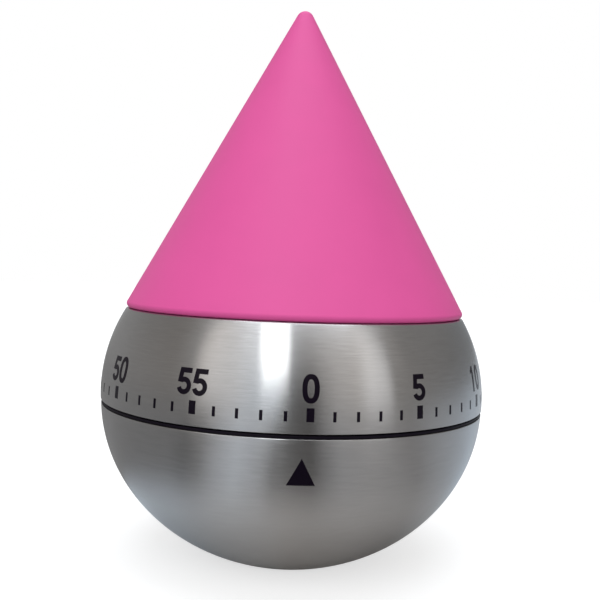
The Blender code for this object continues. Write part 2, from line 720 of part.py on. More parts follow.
def make_release_cam(head):
    """A disc with one notch, which is under the tail's nose at both ends of the dial's travel."""
    nose_struck = polar(TAIL_LENGTH, direction(HAMMER, TAIL_NOSE) + HAMMER_TRAVEL, HAMMER)
    start = direction(MAIN, nose_struck) % 360 - CAM_NOTCH_SPARE - (360 - DIAL_TRAVEL)
    end = direction(MAIN, TAIL_NOSE) % 360 + CAM_NOTCH_SPARE
    rim = arc(CAM_R, end, start + 360, 30)
    floor = arc(CAM_R - CAM_NOTCH_DEPTH, start, end, 4)
    bore = circle(MAIN_ARBOR_R + PRESS_GAP, SMALL_FACETS)
    cam = prism("release_cam", rim + floor, [bore], CAM_LOW_Z, CAM_LOW_Z + CAM_T, BRASS)
    return hang(cam, head)


def make_clutch_washer(head):
    low = GREAT_WHEEL_Z + GREAT_WHEEL_T + SEAT_GAP
    step = 180 / WASHER_PETALS
    outline = []
    for k in range(WASHER_PETALS * 2):
        radius = WASHER_OUT_R if k % 2 == 0 else WASHER_IN_R
        outline += arc(radius, step * (k - PETAL_SHARE), step * (k + PETAL_SHARE), 1)
    bore = circle(MAIN_ARBOR_R + PRESS_GAP, SMALL_FACETS)
    return hang(prism("clutch_washer", outline, [bore], low, low + WASHER_T, STEEL), head)


# ---------------------------------------------------------------- wheel train
def make_wheel(name, teeth, module, bore_r, hub_r, low, thick, parent):
    """A spoked wheel with its first tooth on +X."""
    root_r = (teeth / 2 - WHEEL_TOOTH[1]) * module
    outline = gear_outline(teeth, module, WHEEL_TOOTH, 0)
    holes = [circle(bore_r, SMALL_FACETS)]
    holes += windows(WHEEL_SPOKES, hub_r, root_r - WHEEL_RIM_W, WHEEL_SPOKE_W)
    return hang(prism(name, outline, holes, low, low + thick, BRASS), parent)


def make_pinion(module, driver_teeth, toward, driver_z, driver_t):
    """A pinion in mesh with the wheel that drives it, a little past both of that wheel's faces."""
    phase = meshed_phase(driver_teeth, PINION_TEETH, toward)
    outline = gear_outline(PINION_TEETH, module, PINION_TOOTH, phase)
    past = PINION_OVERHANG * LAYER_GAP
    return prism("pinion", outline, [], driver_z - past, driver_z + driver_t + past, STEEL)


def make_arbor(name, parent, *carried):
    """An arbor that runs between the plates, made in one with what it carries."""
    high = PLATE_LOW_Z - SEAT_GAP
    low = BACK_TOP_Z + SEAT_GAP
    profile = [
        (0, PLATE_TOP_Z),
        (TRAIN_PIVOT_R, PLATE_TOP_Z),
        (TRAIN_PIVOT_R, high),
        (TRAIN_ARBOR_R, high),
        (TRAIN_ARBOR_R, low),
        (TRAIN_PIVOT_R, low),
        (TRAIN_PIVOT_R, BACK_LOW_Z),
        (0, BACK_LOW_Z),
    ]
    arbor = turned(name, profile, PIVOT_FACETS, STEEL)
    return hang(fuse(arbor, *carried), parent)


def make_train(great, second, third, escape):
    """Each arbor carries a pinion in mesh with the wheel before it, and a wheel of its own."""
    bore = TRAIN_ARBOR_R + PRESS_GAP
    main_bore = MAIN_ARBOR_R + PRESS_GAP
    layer = GREAT_WHEEL_Z, GREAT_WHEEL_T
    make_wheel("great_wheel", GREAT_TEETH, LOW_MODULE, main_bore, GREAT_HUB_R, *layer, great)
    toward = direction(MAIN, SECOND)
    make_arbor("second_arbor", second, make_pinion(LOW_MODULE, GREAT_TEETH, toward, *layer))
    layer = SECOND_WHEEL_Z, SECOND_WHEEL_T
    make_wheel("second_wheel", WHEEL_TEETH, LOW_MODULE, bore, SECOND_HUB_R, *layer, second)
    toward = direction(SECOND, THIRD)
    make_arbor("third_arbor", third, make_pinion(LOW_MODULE, WHEEL_TEETH, toward, *layer))
    layer = THIRD_WHEEL_Z, THIRD_WHEEL_T
    make_wheel("third_wheel", WHEEL_TEETH, HIGH_MODULE, bore, THIRD_HUB_R, *layer, third)
    toward = direction(THIRD, ESCAPE)
    make_arbor("escape_arbor", escape, make_pinion(HIGH_MODULE, WHEEL_TEETH, toward, *layer))
    make_escape_wheel(escape)


def make_escape_wheel(escape):
    """Pointed teeth, with a gap of them facing the balance."""
    pitch = 360 / ESCAPE_TEETH
    toward = direction(ESCAPE, BALANCE)
    corners = [(ESCAPE_ROOT_R, -ESCAPE_ROOT_SHARE), (ESCAPE_TIP_R, -ESCAPE_TIP_SHARE)]
    corners += [(ESCAPE_TIP_R, ESCAPE_TIP_SHARE), (ESCAPE_ROOT_R, ESCAPE_ROOT_SHARE)]
    outline = []
    for k in range(ESCAPE_TEETH):
        for radius, share in corners:
            outline.append(polar(radius, toward + (k + 0.5 + share) * pitch))
    holes = [circle(TRAIN_ARBOR_R + PRESS_GAP, SMALL_FACETS)]
    holes += windows(ESCAPE_SPOKES, ESCAPE_HUB_R, ESCAPE_ROOT_R - ESCAPE_RIM_W, ESCAPE_SPOKE_W)
    wheel = prism("escape_wheel", outline, holes, ESCAPE_WHEEL_Z, ESCAPE_WHEEL_Z + ESCAPE_WHEEL_T, BRASS)
    return hang(wheel, escape)


def make_balance(balance):
    """A ring on a staff, whose arm carries two pins down between the escape wheel's teeth."""
    bore = circle(TRAIN_ARBOR_R + PRESS_GAP, SMALL_FACETS)
    openings = windows(BALANCE_SPOKES, BALANCE_HUB_R, BALANCE_IN_R, BALANCE_SPOKE_W)
    ring = prism(
        "balance_wheel",
        circle(BALANCE_OUT_R, BALANCE_FACETS),
        [bore, *openings],
        BALANCE_Z,
        BALANCE_Z + BALANCE_T,
        BRASS,
    )
    hang(ring, balance)
    arm_low = ESCAPE_WHEEL_Z + ESCAPE_WHEEL_T + SEAT_GAP
    arm_top = arm_low + PALLET_T
    toward = direction(BALANCE, ESCAPE)
    reach = ESCAPE_TIP_R + PALLET_PIN_R + PALLET_PIN_GAP
    crotch = polar(PALLET_CROTCH_R, toward)
    outline = arc(PALLET_ROOT_R, toward + 110, toward + 250, CURVE_STEPS)
    pins = []
    for side in (-1, 1):
        pin = polar(reach, toward + 180 - side * PALLET_HALF_ANGLE, ESCAPE)
        pin = (pin[0] - BALANCE[0], pin[1] - BALANCE[1])
        way = direction(MAIN, pin)
        outline += arc(PALLET_NOSE_R, way - 90, way + 90, ROUND_STEPS, pin)
        if side < 0:
            outline.append(crotch)
        pin_low = ESCAPE_WHEEL_Z - SEAT_GAP
        pin_top = (arm_low + arm_top) / 2
        pins.append(move(rod("pin", PALLET_PIN_R, pin_low, pin_top, PIVOT_FACETS, STEEL), *pin))
    arms = prism("arms", outline, [], arm_low, arm_top, STEEL)
    return make_arbor("pallet_staff", balance, arms, *pins)


# ---------------------------------------------------------------- hammer
def lever_outline(length, nose_r, way):
    """A lever with a round nose and a round hub on its pivot."""
    nose = arc(nose_r, -90, 90, CURVE_STEPS, (length, 0))
    hub = arc(LEVER_HUB_R, LEVER_HUB_OPEN, 360 - LEVER_HUB_OPEN, CURVE_STEPS)
    return turn_points(nose + hub, way)


def make_hammer(hammer):
    """An arbor through both plates, with a tail on the release cam and an arm beside the gong.
    It stands held off: HAMMER_TRAVEL degrees short of where the head would meet the gong."""
    tail_high = CAM_LOW_Z + CAM_T
    profile = [
        (0, tail_high + SEAT_GAP),
        (HAMMER_ARBOR_R, tail_high + SEAT_GAP),
        (HAMMER_ARBOR_R, ARM_Z - SEAT_GAP),
        (0, ARM_Z - SEAT_GAP),
    ]
    hang(turned("hammer_arbor", profile, SMALL_FACETS, STEEL), hammer)
    bore = circle(HAMMER_ARBOR_R + PRESS_GAP, SMALL_FACETS)
    outline = lever_outline(TAIL_LENGTH, TAIL_NOSE_R, direction(HAMMER, TAIL_NOSE))
    hang(prism("hammer_tail", outline, [bore], CAM_LOW_Z, tail_high, STEEL), hammer)
    way = direction(HAMMER, HAMMER_STRUCK) - HAMMER_TRAVEL
    outline = lever_outline(ARM_LENGTH, ARM_HALF_W, way)
    end = polar(ARM_LENGTH, way)
    holes = [circle(HEAD_TENON_R + PRESS_GAP, PIVOT_FACETS, end), bore]
    hang(prism("hammer_arm", outline, holes, ARM_Z, ARM_Z + ARM_T, STEEL), hammer)
    head_top = ARM_Z - PRESS_GAP
    profile = [
        (0, ARM_Z + ARM_T),
        (HEAD_TENON_R, ARM_Z + ARM_T),
        (HEAD_TENON_R, head_top),
        (HEAD_R, head_top),
        (HEAD_R, head_top - HEAD_H),
        (0, head_top - HEAD_H),
    ]
    hang(turned("hammer_head", profile, SMALL_FACETS, BRASS), hammer, *end)


# ---------------------------------------------------------------- movement frame
def pivot_holes():
    run_r = TRAIN_PIVOT_R + RUN_GAP
    holes = [circle(run_r, PIVOT_FACETS, place) for place in (SECOND, THIRD, ESCAPE, BALANCE)]
    holes.append(circle(HAMMER_ARBOR_R + RUN_GAP, SMALL_FACETS, HAMMER))
    return holes


def following(angles):
    """Each angle with the one that comes after it round the circle."""
    return zip(angles, angles[1:] + (angles[0] + 360,))


def eared_disc(disc_r):
    """A disc with straight-sided ears that reach out to the chassis lugs."""
    half = math.degrees(math.asin(EAR_R / disc_r))
    points = []
    for angle, after in following(EAR_ANGLES):
        points += arc(EAR_R, angle - 90, angle + 90, CURVE_STEPS, polar(EAR_CIRCLE_R, angle))
        points += arc(disc_r, angle + half, after - half, SHELL_FACETS // len(EAR_ANGLES))
    return points


def lobed_disc(disc_r, lobe_r):
    """A disc with a round lobe at each pillar, where the pillars stand that near its edge."""
    if PILLAR_CIRCLE_R + lobe_r <= disc_r:
        return circle(disc_r, SHELL_FACETS)
    spread = (disc_r**2 + PILLAR_CIRCLE_R**2 - lobe_r**2) / (2 * disc_r * PILLAR_CIRCLE_R)
    swing = (disc_r**2 - PILLAR_CIRCLE_R**2 - lobe_r**2) / (2 * lobe_r * PILLAR_CIRCLE_R)
    half = math.degrees(math.acos(spread))
    turn = math.degrees(math.acos(swing))
    points = []
    for angle, after in following(PILLAR_ANGLES):
        points += arc(lobe_r, angle - turn, angle + turn, ROUND_STEPS, polar(PILLAR_CIRCLE_R, angle))
        points += arc(disc_r, angle + half, after - half, SHELL_FACETS // len(PILLAR_ANGLES))[1:-1]
    return points


def make_front_plate(base):
    holes = pivot_holes()
    holes.append(circle(MAIN_ARBOR_R + RUN_GAP, FINE_FACETS))
    holes += [circle(SCREW_HOLE_R, SMALL_FACETS, place) for place in PILLARS + EARS]
    holes += [circle(TENON_R + PRESS_GAP, SMALL_FACETS, place) for place in (SPRING_POST, STOP_POST)]
    outline = eared_disc(FRONT_PLATE_R)
    return hang(prism("front_plate", outline, holes, PLATE_LOW_Z, PLATE_TOP_Z, BRASS), base)


def make_back_plate(base):
    holes = pivot_holes()
    holes.append(circle(MAIN_PIVOT_R + RUN_GAP, FINE_FACETS))
    holes += [circle(TENON_R + PRESS_GAP, SMALL_FACETS, place) for place in [*PILLARS, GONG]]
    outline = lobed_disc(BACK_PLATE_R, PILLAR_R + BACK_EDGE_W)
    return hang(prism("back_plate", outline, holes, BACK_LOW_Z, BACK_TOP_Z, BRASS), base)


def make_pillars(base):
    """Riveted into the back plate below, tapped for a screw above."""
    top = PLATE_LOW_Z - SEAT_GAP
    low = BACK_TOP_Z + SEAT_GAP
    tap_low = top - PILLAR_TAP_L
    profile = [
        (0, tap_low),
        (TAP_R, tap_low),
        (TAP_R, top),
        (PILLAR_R, top),
        (PILLAR_R, low),
        (TENON_R, low),
        (TENON_R, BACK_LOW_Z - SEAT_GAP),
        (0, BACK_LOW_Z - SEAT_GAP),
    ]
    for k, place in enumerate(PILLARS):
        hang(turned(f"pillar_{k + 1}", profile, SMALL_FACETS, BRASS), base, *place)
        name = f"plate_screw_{k + 1}"
        tip = tap_low + TAP_SPARE
        screw(name, PLATE_TOP_Z, tip, True, SCREW_HEAD_R, SCREW_HEAD_H, base, place)


def post_foot(shank_r):
    """The lower part of a post's profile: its flange on the front plate, and its tenon."""
    flange_low = PLATE_TOP_Z + SEAT_GAP
    return [
        (shank_r, flange_low + POST_FOOT_H),
        (POST_FOOT_R, flange_low + POST_FOOT_H),
        (POST_FOOT_R, flange_low),
        (TENON_R, flange_low),
        (TENON_R, PLATE_LOW_Z),
        (0, PLATE_LOW_Z),
    ]


def make_stop_post(base):
    bevel = STOP_POST_R / 3
    tip = [
        (0, STOP_POST_TOP_Z),
        (STOP_POST_R - bevel, STOP_POST_TOP_Z),
        (STOP_POST_R, STOP_POST_TOP_Z - bevel),
    ]
    post = turned("stop_post", tip + post_foot(STOP_POST_R), SMALL_FACETS, STEEL)
    return hang(post, base, *STOP_POST)


def make_spring_post(base):
    top = SPRING_LOW_Z + SPRING_H + SEAT_GAP
    tip = [(0, top), (SPRING_POST_R, top)]
    post = turned("spring_post", tip + post_foot(SPRING_POST_R), SMALL_FACETS, STEEL)
    return hang(post, base, *SPRING_POST)


def make_mainspring(base):
    """A flat spiral from the main arbor out to its post."""
    start_r = MAIN_ARBOR_R + SEAT_GAP + SPRING_T / 2
    end_r = SPRING_POST_CIRCLE_R - SPRING_POST_R - SEAT_GAP - SPRING_T / 2
    steps = round(SPRING_TURNS * SPRING_STEPS)
    outer = []
    inner = []
    for k in range(steps + 1):
        share = k / steps
        angle = SPRING_POST_ANGLE - 360 * SPRING_TURNS * (1 - share)
        radius = start_r + (end_r - start_r) * share
        outer.append(polar(radius + SPRING_T / 2, angle))
        inner.append(polar(radius - SPRING_T / 2, angle))
    spring = prism("mainspring", outer + inner[::-1], [], SPRING_LOW_Z, SPRING_LOW_Z + SPRING_H, STEEL)
    return hang(spring, base)


# ---------------------------------------------------------------- gong
def gong_curve(wall):
    """A quarter ellipse from the rim down to the crown, inset by a wall."""
    sweep = GONG_R - GONG_CROWN_R - wall
    depth = GONG_RIM_Z - GONG_CROWN_Z - wall
    points = []
    for k in range(CURVE_STEPS + 1):
        angle = math.radians(90 * k / CURVE_STEPS)
        points.append((GONG_CROWN_R + sweep * math.cos(angle), GONG_RIM_Z - depth * math.sin(angle)))
    return points


def make_gong(base):
    hole = [(SCREW_HOLE_R, GONG_CROWN_Z), (SCREW_HOLE_R, GONG_CROWN_Z + GONG_WALL)]
    profile = gong_curve(0.0) + hole + gong_curve(GONG_WALL)[::-1]
    hang(turned("gong", profile, FINE_FACETS, STEEL), base, *GONG)
    post_low = GONG_CROWN_Z + GONG_WALL + SEAT_GAP
    post_high = BACK_LOW_Z - SEAT_GAP
    tap_top = post_high - GONG_TAP_FLOOR
    post = [
        (0, tap_top),
        (TAP_R, tap_top),
        (TAP_R, post_low),
        (GONG_POST_R, post_low),
        (GONG_POST_R, post_high),
        (TENON_R, post_high),
        (TENON_R, BACK_TOP_Z),
        (0, BACK_TOP_Z),
    ]
    hang(turned("gong_post", post, SMALL_FACETS, BRASS), base, *GONG)
    tip = tap_top - TAP_SPARE
    screw("gong_screw", GONG_CROWN_Z, tip, False, SCREW_HEAD_R, GONG_SCREW_HEAD_H, base, GONG)


# ---------------------------------------------------------------- chassis, bowl and foot
def make_leg():
    """A strap that follows the bowl from the ring down to the hub, in the XZ plane."""
    top = RING_LOW_Z + LEG_ROOT
    outer = bowl_curve(top, CHASSIS_HUB_Z, LEG_DEPTH, CURVE_STEPS)
    inner = bowl_curve(top, CHASSIS_HUB_TOP_Z, LEG_DEPTH + LEG_T, CURVE_STEPS)
    root_r = CHASSIS_HUB_R - LEG_ROOT
    foot = [(root_r, CHASSIS_HUB_Z + PRESS_GAP), (root_r, CHASSIS_HUB_TOP_Z - PRESS_GAP)]
    leg = prism("leg", outer + foot + inner[::-1], [], -LEG_W / 2, LEG_W / 2, BLACK)
    leg.data.transform(Matrix.Rotation(math.radians(90), 4, "X"))
    return leg


def make_base_chassis(base):
    """A ring behind the seam with lugs for the movement and three legs down to a hub over the foot."""
    skirt_z = -SEAM_GAP - RING_SKIRT
    curve = bowl_curve(skirt_z, RING_LOW_Z, CHASSIS_DEPTH, ROUND_STEPS)
    skirt = [(min(r, RING_R), z) for r, z in curve]
    ring = [(RING_R - RING_BEVEL, RING_TOP_Z), (RING_R, RING_TOP_Z - RING_BEVEL), *skirt]
    ring += [(skirt[-1][0] - RING_WALL, RING_LOW_Z), (RING_IN_R, skirt_z), (RING_IN_R, RING_TOP_Z)]
    chassis = turned("base_chassis", ring, SHELL_FACETS, BLACK)
    lug_top = PLATE_LOW_Z - SEAT_GAP
    lug_low = lug_top - LUG_H
    anchor = RING_IN_R + PRESS_GAP
    lug_outline = arc(EAR_R, 90, 270, CURVE_STEPS, (EAR_CIRCLE_R, 0))
    lug_outline += [(anchor, -EAR_R), (anchor, EAR_R)]
    parts = []
    pilots = []
    for angle, place in zip(EAR_ANGLES, EARS):
        parts.append(spin(make_leg(), angle))
        parts.append(spin(prism("lug", lug_outline, [], lug_low, lug_top, BLACK), angle))
        pilot = rod("pilot", TAP_R, lug_low - CUT_SPARE, lug_top + CUT_SPARE, SMALL_FACETS, BLACK)
        pilots.append(move(pilot, *place))
    hub = [
        (0, CHASSIS_BOSS_TOP_Z),
        (CHASSIS_BOSS_R, CHASSIS_BOSS_TOP_Z),
        (CHASSIS_BOSS_R, CHASSIS_HUB_TOP_Z),
        (CHASSIS_HUB_R, CHASSIS_HUB_TOP_Z),
        (CHASSIS_HUB_R, CHASSIS_HUB_Z),
        (0, CHASSIS_HUB_Z),
    ]
    parts.append(turned("hub", hub, FINE_FACETS, BLACK))
    pilot_top = CHASSIS_BOSS_TOP_Z + CUT_SPARE
    pilots.append(rod("pilot", TAP_R, CHASSIS_HUB_Z - CUT_SPARE, pilot_top, SMALL_FACETS, BLACK))
    fuse(chassis, *parts)
    return hang(carve(chassis, *pilots), base)


def make_seam_ring(base):
    """A flat slip ring on the bowl's edge, round the chassis ring."""
    low = PRESS_GAP - SEAM_GAP
    high = low + SEAM_RING_T
    inner_r = RING_R + PRESS_GAP
    outer_r = SEAM_R - SEAM_RING_INSET
    profile = [(outer_r, high), (outer_r, low), (inner_r, low), (inner_r, high)]
    return hang(turned("seam_ring", profile, SHELL_FACETS, BLACK), base)


def make_movement_screws(base):
    tip = PLATE_LOW_Z - SEAT_GAP - LUG_SCREW_L
    for k, place in enumerate(EARS):
        name = f"movement_screw_{k + 1}"
        screw(name, PLATE_TOP_Z, tip, True, SCREW_HEAD_R, SCREW_HEAD_H, base, place)


def make_lower_bowl(base):
    outside = bowl_curve(-SEAM_GAP, BOWL_FLAT_Z, 0.0, BOWL_STEPS)
    inside = bowl_curve(-SEAM_GAP, BOWL_FLOOR_Z + PRESS_GAP, STEEL_WALL, BOWL_STEPS)
    floor = [
        (RECESS_R, BOWL_FLAT_Z),
        (RECESS_R, RECESS_Z),
        (SCREW_HOLE_R, RECESS_Z),
        (SCREW_HOLE_R, BOWL_FLOOR_Z),
        (RECESS_R + STEEL_WALL, BOWL_FLOOR_Z),
    ]
    return hang(turned("lower_bowl", outside + floor + inside[::-1], SHELL_FACETS, STEEL), base)


def make_foot_pad(base):
    low = BOWL_FLAT_Z - FOOT_PROUD
    top = RECESS_Z - SEAT_GAP
    out_r = RECESS_R - SEAT_GAP
    profile = [
        (out_r, top),
        (out_r, low + FOOT_EDGE_R),
        (out_r - FOOT_EDGE_R, low),
        (FOOT_BORE_R + FOOT_EDGE_R, low),
        (FOOT_BORE_R, low + FOOT_EDGE_R),
        (FOOT_BORE_R, top),
    ]
    return hang(turned("foot_pad", profile, SHELL_FACETS, RUBBER), base)


def make_bowl_screw(base):
    tip = CHASSIS_BOSS_TOP_Z - PRESS_GAP
    screw("bowl_screw", RECESS_Z, tip, False, BOWL_SCREW_HEAD_R, BOWL_SCREW_HEAD_H, base, MAIN)


# ---------------------------------------------------------------- assembly
def clear_scene():
    for obj in list(bpy.data.objects):
        bpy.data.objects.remove(obj)


def main():
    clear_scene()
    seam = axis_empty("seam_plane", None, MAIN, SEAM_Z)
    head = axis_empty("dial_axis", seam)
    make_cone_cap(head)
    make_upper_shell(head)
    make_dial_carrier(head)
    make_cap_screws(head)
    make_main_arbor(head)
    make_release_cam(head)
    make_clutch_washer(head)
    great = axis_empty("great_axis", seam)
    second = axis_empty("second_axis", seam, SECOND)
    third = axis_empty("third_axis", seam, THIRD)
    escape = axis_empty("escape_axis", seam, ESCAPE)
    make_train(great, second, third, escape)
    make_balance(axis_empty("balance_axis", seam, BALANCE))
    make_hammer(axis_empty("hammer_axis", seam, HAMMER))
    make_front_plate(seam)
    make_back_plate(seam)
    make_pillars(seam)
    make_stop_post(seam)
    make_spring_post(seam)
    make_mainspring(seam)
    make_gong(seam)
    make_base_chassis(seam)
    make_seam_ring(seam)
    make_movement_screws(seam)
    make_lower_bowl(seam)
    make_foot_pad(seam)
    make_bowl_screw(seam)


main()
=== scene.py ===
"""Looks of the kitchen timer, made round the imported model.

Fine turned shells stand for the faceted steel, plastic and rubber pieces outside. The minute
marks, the numbers and the pointer are thin layers of ink that follow the steel. Every other CAD
piece keeps its shape and gets a finish. Metres, +Z up, and the user is at -Y.
"""

import json
import math

import bmesh
import bpy
from mathutils import Matrix, Quaternion, Vector


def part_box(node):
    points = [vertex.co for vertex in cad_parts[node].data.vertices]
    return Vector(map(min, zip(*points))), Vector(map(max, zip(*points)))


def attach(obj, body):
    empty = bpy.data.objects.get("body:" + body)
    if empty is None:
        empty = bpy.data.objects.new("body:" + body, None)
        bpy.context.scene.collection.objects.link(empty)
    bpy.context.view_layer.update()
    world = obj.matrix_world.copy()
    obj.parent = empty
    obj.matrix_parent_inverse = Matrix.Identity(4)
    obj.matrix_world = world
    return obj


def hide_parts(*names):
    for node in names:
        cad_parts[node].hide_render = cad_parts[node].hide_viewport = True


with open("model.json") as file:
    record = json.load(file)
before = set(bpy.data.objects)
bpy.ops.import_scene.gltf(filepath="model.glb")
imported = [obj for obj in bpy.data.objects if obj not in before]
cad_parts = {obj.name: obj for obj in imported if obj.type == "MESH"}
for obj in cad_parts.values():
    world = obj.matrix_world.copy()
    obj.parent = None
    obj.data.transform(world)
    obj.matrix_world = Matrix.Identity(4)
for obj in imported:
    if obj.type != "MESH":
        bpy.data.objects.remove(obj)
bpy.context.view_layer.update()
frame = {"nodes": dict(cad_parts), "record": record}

# ---------------------------------------------------------------- the outside form, in the CAD's box
SEAM_R = 0.0325  # dial shell at its lower edge
SHELL_ARC_R = 0.02680  # radius of the dial shell's bulge in section
SHELL_ARC_RISE = 0.00120  # height of the widest point of that bulge above the seam
SHELL_EDGE_R = 0.0005  # bend from the bulge into the flange
SHELL_FLANGE_W = 0.0030
CONE_TIP_R = 0.00155
CONE_EDGE_R = 0.00025  # rounding of the lower edge in the CAD, which sets the slope of the side
CONE_WALL = 0.0018
CONE_SEAT = 0.00006  # from the dial shell up to the cone
CONE_ROUND = 0.0007  # softer rounding that the lower edge has here
BOWL_R = 0.0324
BOWL_HALF_HEIGHT = 0.02859
BOWL_CENTRE_RISE = 0.00032
BOWL_FLAT_R = 0.0126
STEEL_WALL = 0.0006
FOOT_RECESS = 0.0010
FOOT_LIP = 0.0012
FOOT_BORE_R = 0.0034
BOWL_HOLE_R = 0.0017
SEAT_GAP = 0.0003  # from the dial shell up to the cone in the CAD

SEAM_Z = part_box("upper_shell")[0].z
SHELL_TOP_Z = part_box("upper_shell")[1].z
CONE_LOW_Z = SHELL_TOP_Z + CONE_SEAT
CONE_TOP_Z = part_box("cone_cap")[1].z
RING_TOP_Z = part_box("seam_ring")[1].z
RING_LOW_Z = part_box("seam_ring")[0].z
RING_OUT_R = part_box("seam_ring")[1].x
BOWL_TOP_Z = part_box("lower_bowl")[1].z
BOWL_LOW_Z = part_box("lower_bowl")[0].z
FOOT_LOW_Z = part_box("foot_pad")[0].z
FOOT_TOP_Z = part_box("foot_pad")[1].z
FOOT_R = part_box("foot_pad")[1].x
SCREW_LOW_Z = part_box("bowl_screw")[0].z
SCREW_TOP_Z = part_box("bowl_screw")[1].z

# ---------------------------------------------------------------- fine detail
TURN_STEPS = 256  # facets round the axis
SCREW_TURN_STEPS = 96
CURVE_STEPS = 48
ROUND_STEPS = 8
SHARP_ANGLE = math.radians(40)
FOOT_ROUND = 0.00025
GROOVE_R = 0.00022
GROOVE_RINGS = (0.0094, 0.0074, 0.0054)  # the grooves under the foot, from the outside in
SCREW_HEAD_H = 0.00056
SCREW_SHANK_R = 0.0010
SCREW_ROUND = 0.00022
SCREW_FLAT = 0.6  # share of the head's radius where its flat face has one more ring
RECESS_LENGTH = 0.0028
RECESS_W = 0.0006
RECESS_DEPTH = 0.00036
RECESS_WIDE = 1.15  # how wide the recess is below the head's face, as a share of its size
RECESS_NARROW = 0.70  # and at its bottom
RECESS_TURNS = (45, 135)  # degrees round the axis
LIP_R = 0.00010  # rounding of the steel's cut edges
RING_W = 0.0009
RING_EDGE_R = 0.00008

INK_LIFT = 0.000012  # ink above the steel
INK_SINK = 0.00003  # ink below its surface, so that the layer is a closed body
INK_CELL = 0.00045  # widest facet of a printed layer
OUTLINE_SCALE = 1000  # outlines are filled in millimetres
MERGE_DISTANCE = 1e-7
CUT_TOLERANCE = 1e-8
MINUTES = 60
NUMBER_EVERY = 5  # minutes, with a wide mark each
DIAL_SLIP = math.radians(1.65)  # the printed zero stands this far to the right of the pointer
MARK_LOW = 0.00175  # heights above the seam
MARK_TOP = 0.00315
MARK_W = 0.00046
FIVE_LOW = 0.00174  # the wide mark at a number
FIVE_TOP = 0.00363
FIVE_W = 0.00108
NUMBER_LOW = 0.00427
NUMBER_H = 0.00395
NUMBER_SLIPS = {55: -0.00033}  # to the right of a number's mark, where the print is off its place
POINTER_TIP = -0.00339
POINTER_BASE = -0.00737
POINTER_HALF_W = 0.00202


# ---------------------------------------------------------------- points
def polar(radius, degrees, centre=(0.0, 0.0)):
    angle = math.radians(degrees)
    return (centre[0] + radius * math.cos(angle), centre[1] + radius * math.sin(angle))


def arc(radius, start, end, steps, centre=(0.0, 0.0)):
    """Points on an arc, with its angles in degrees and both ends included."""
    return [polar(radius, start + (end - start) * k / steps, centre) for k in range(steps + 1)]


SHELL_AXIS_R = SEAM_R - math.sqrt(SHELL_ARC_R**2 - SHELL_ARC_RISE**2)
SHELL_ARC_Z = SEAM_Z + SHELL_ARC_RISE
BOWL_CENTRE_Z = SEAM_Z + BOWL_CENTRE_RISE
# The bulge is widest between two points of the CAD's coarse section, so the fine one is drawn in
# until its ink is inside the CAD's box.
SHELL_TRIM = SHELL_AXIS_R + SHELL_ARC_R + INK_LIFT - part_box("upper_shell")[1].x


def dial_radius(z):
    return SHELL_AXIS_R + math.sqrt((SHELL_ARC_R - SHELL_TRIM) ** 2 - (z - SHELL_ARC_Z) ** 2)


def bowl_radius(z):
    return BOWL_R * math.sqrt(1 - ((z - BOWL_CENTRE_Z) / BOWL_HALF_HEIGHT) ** 2)


def shell_bulge(inset, top):
    """The dial shell's curve from the seam up to an angle above its widest place."""
    radius = SHELL_ARC_R - SHELL_TRIM - inset
    low = -math.degrees(math.asin(SHELL_ARC_RISE / radius))
    return arc(radius, low, top, CURVE_STEPS, (SHELL_AXIS_R, SHELL_ARC_Z))


def shell_outside():
    """The bulge and its bend into the flange."""
    bend_z = SHELL_TOP_Z - SHELL_EDGE_R
    reach = SHELL_ARC_R - SHELL_TRIM - SHELL_EDGE_R
    top = math.degrees(math.asin((bend_z - SHELL_ARC_Z) / reach))
    bend_r = SHELL_AXIS_R + reach * math.cos(math.radians(top))
    return shell_bulge(0.0, top) + arc(SHELL_EDGE_R, top, 90, ROUND_STEPS, (bend_r, bend_z))[1:]


def shell_inside():
    """The bulge less the wall, up to the corner under the flange."""
    under_flange = SHELL_TOP_Z - STEEL_WALL - SHELL_ARC_Z
    top = math.degrees(math.asin(under_flange / (SHELL_ARC_R - SHELL_TRIM - STEEL_WALL)))
    return shell_bulge(STEEL_WALL, top)


def bowl_section(inset, low_z):
    """The bowl's curve from its rim down to a height, inset by a wall."""
    points = []
    start = math.asin((BOWL_CENTRE_Z - BOWL_TOP_Z) / BOWL_HALF_HEIGHT)
    end = math.asin((BOWL_CENTRE_Z - low_z) / (BOWL_HALF_HEIGHT - inset))
    for k in range(CURVE_STEPS + 1):
        angle = start + (end - start) * k / CURVE_STEPS
        r = (BOWL_R - inset) * math.cos(angle)
        points.append((r, BOWL_CENTRE_Z - (BOWL_HALF_HEIGHT - inset) * math.sin(angle)))
    return points


# ---------------------------------------------------------------- meshes
def mesh_object(name, mesh_form, material):
    """The finished object of a bmesh, with sharp edges only where the surface really breaks."""
    bmesh.ops.recalc_face_normals(mesh_form, faces=mesh_form.faces)
    mesh = bpy.data.meshes.new(name)
    mesh_form.to_mesh(mesh)
    mesh_form.free()
    mesh.shade_smooth()
    mesh.set_sharp_from_angle(angle=SHARP_ANGLE)
    if material:
        mesh.materials.append(material)
    obj = bpy.data.objects.new(name, mesh)
    bpy.context.scene.collection.objects.link(obj)
    return obj


def turned(name, section, material, steps=TURN_STEPS):
    """A closed body from a section of (radius, height) points turned about the Z axis."""
    form = bmesh.new()
    rings = []
    for r, z in section:
        if r == 0:
            rings.append([form.verts.new((0, 0, z))] * steps)
            continue
        ring = []
        for k in range(steps):
            x, y = polar(r, 360 * k / steps)
            ring.append(form.verts.new((x, y, z)))
        rings.append(ring)
    closed = section[0][0] != 0
    for k in range(len(rings) - (not closed)):
        low, high = rings[k], rings[(k + 1) % len(rings)]
        for i in range(steps):
            corners = [low[i], low[(i + 1) % steps], high[(i + 1) % steps], high[i]]
            form.faces.new(list(dict.fromkeys(corners)))
    return mesh_object(name, form, material)


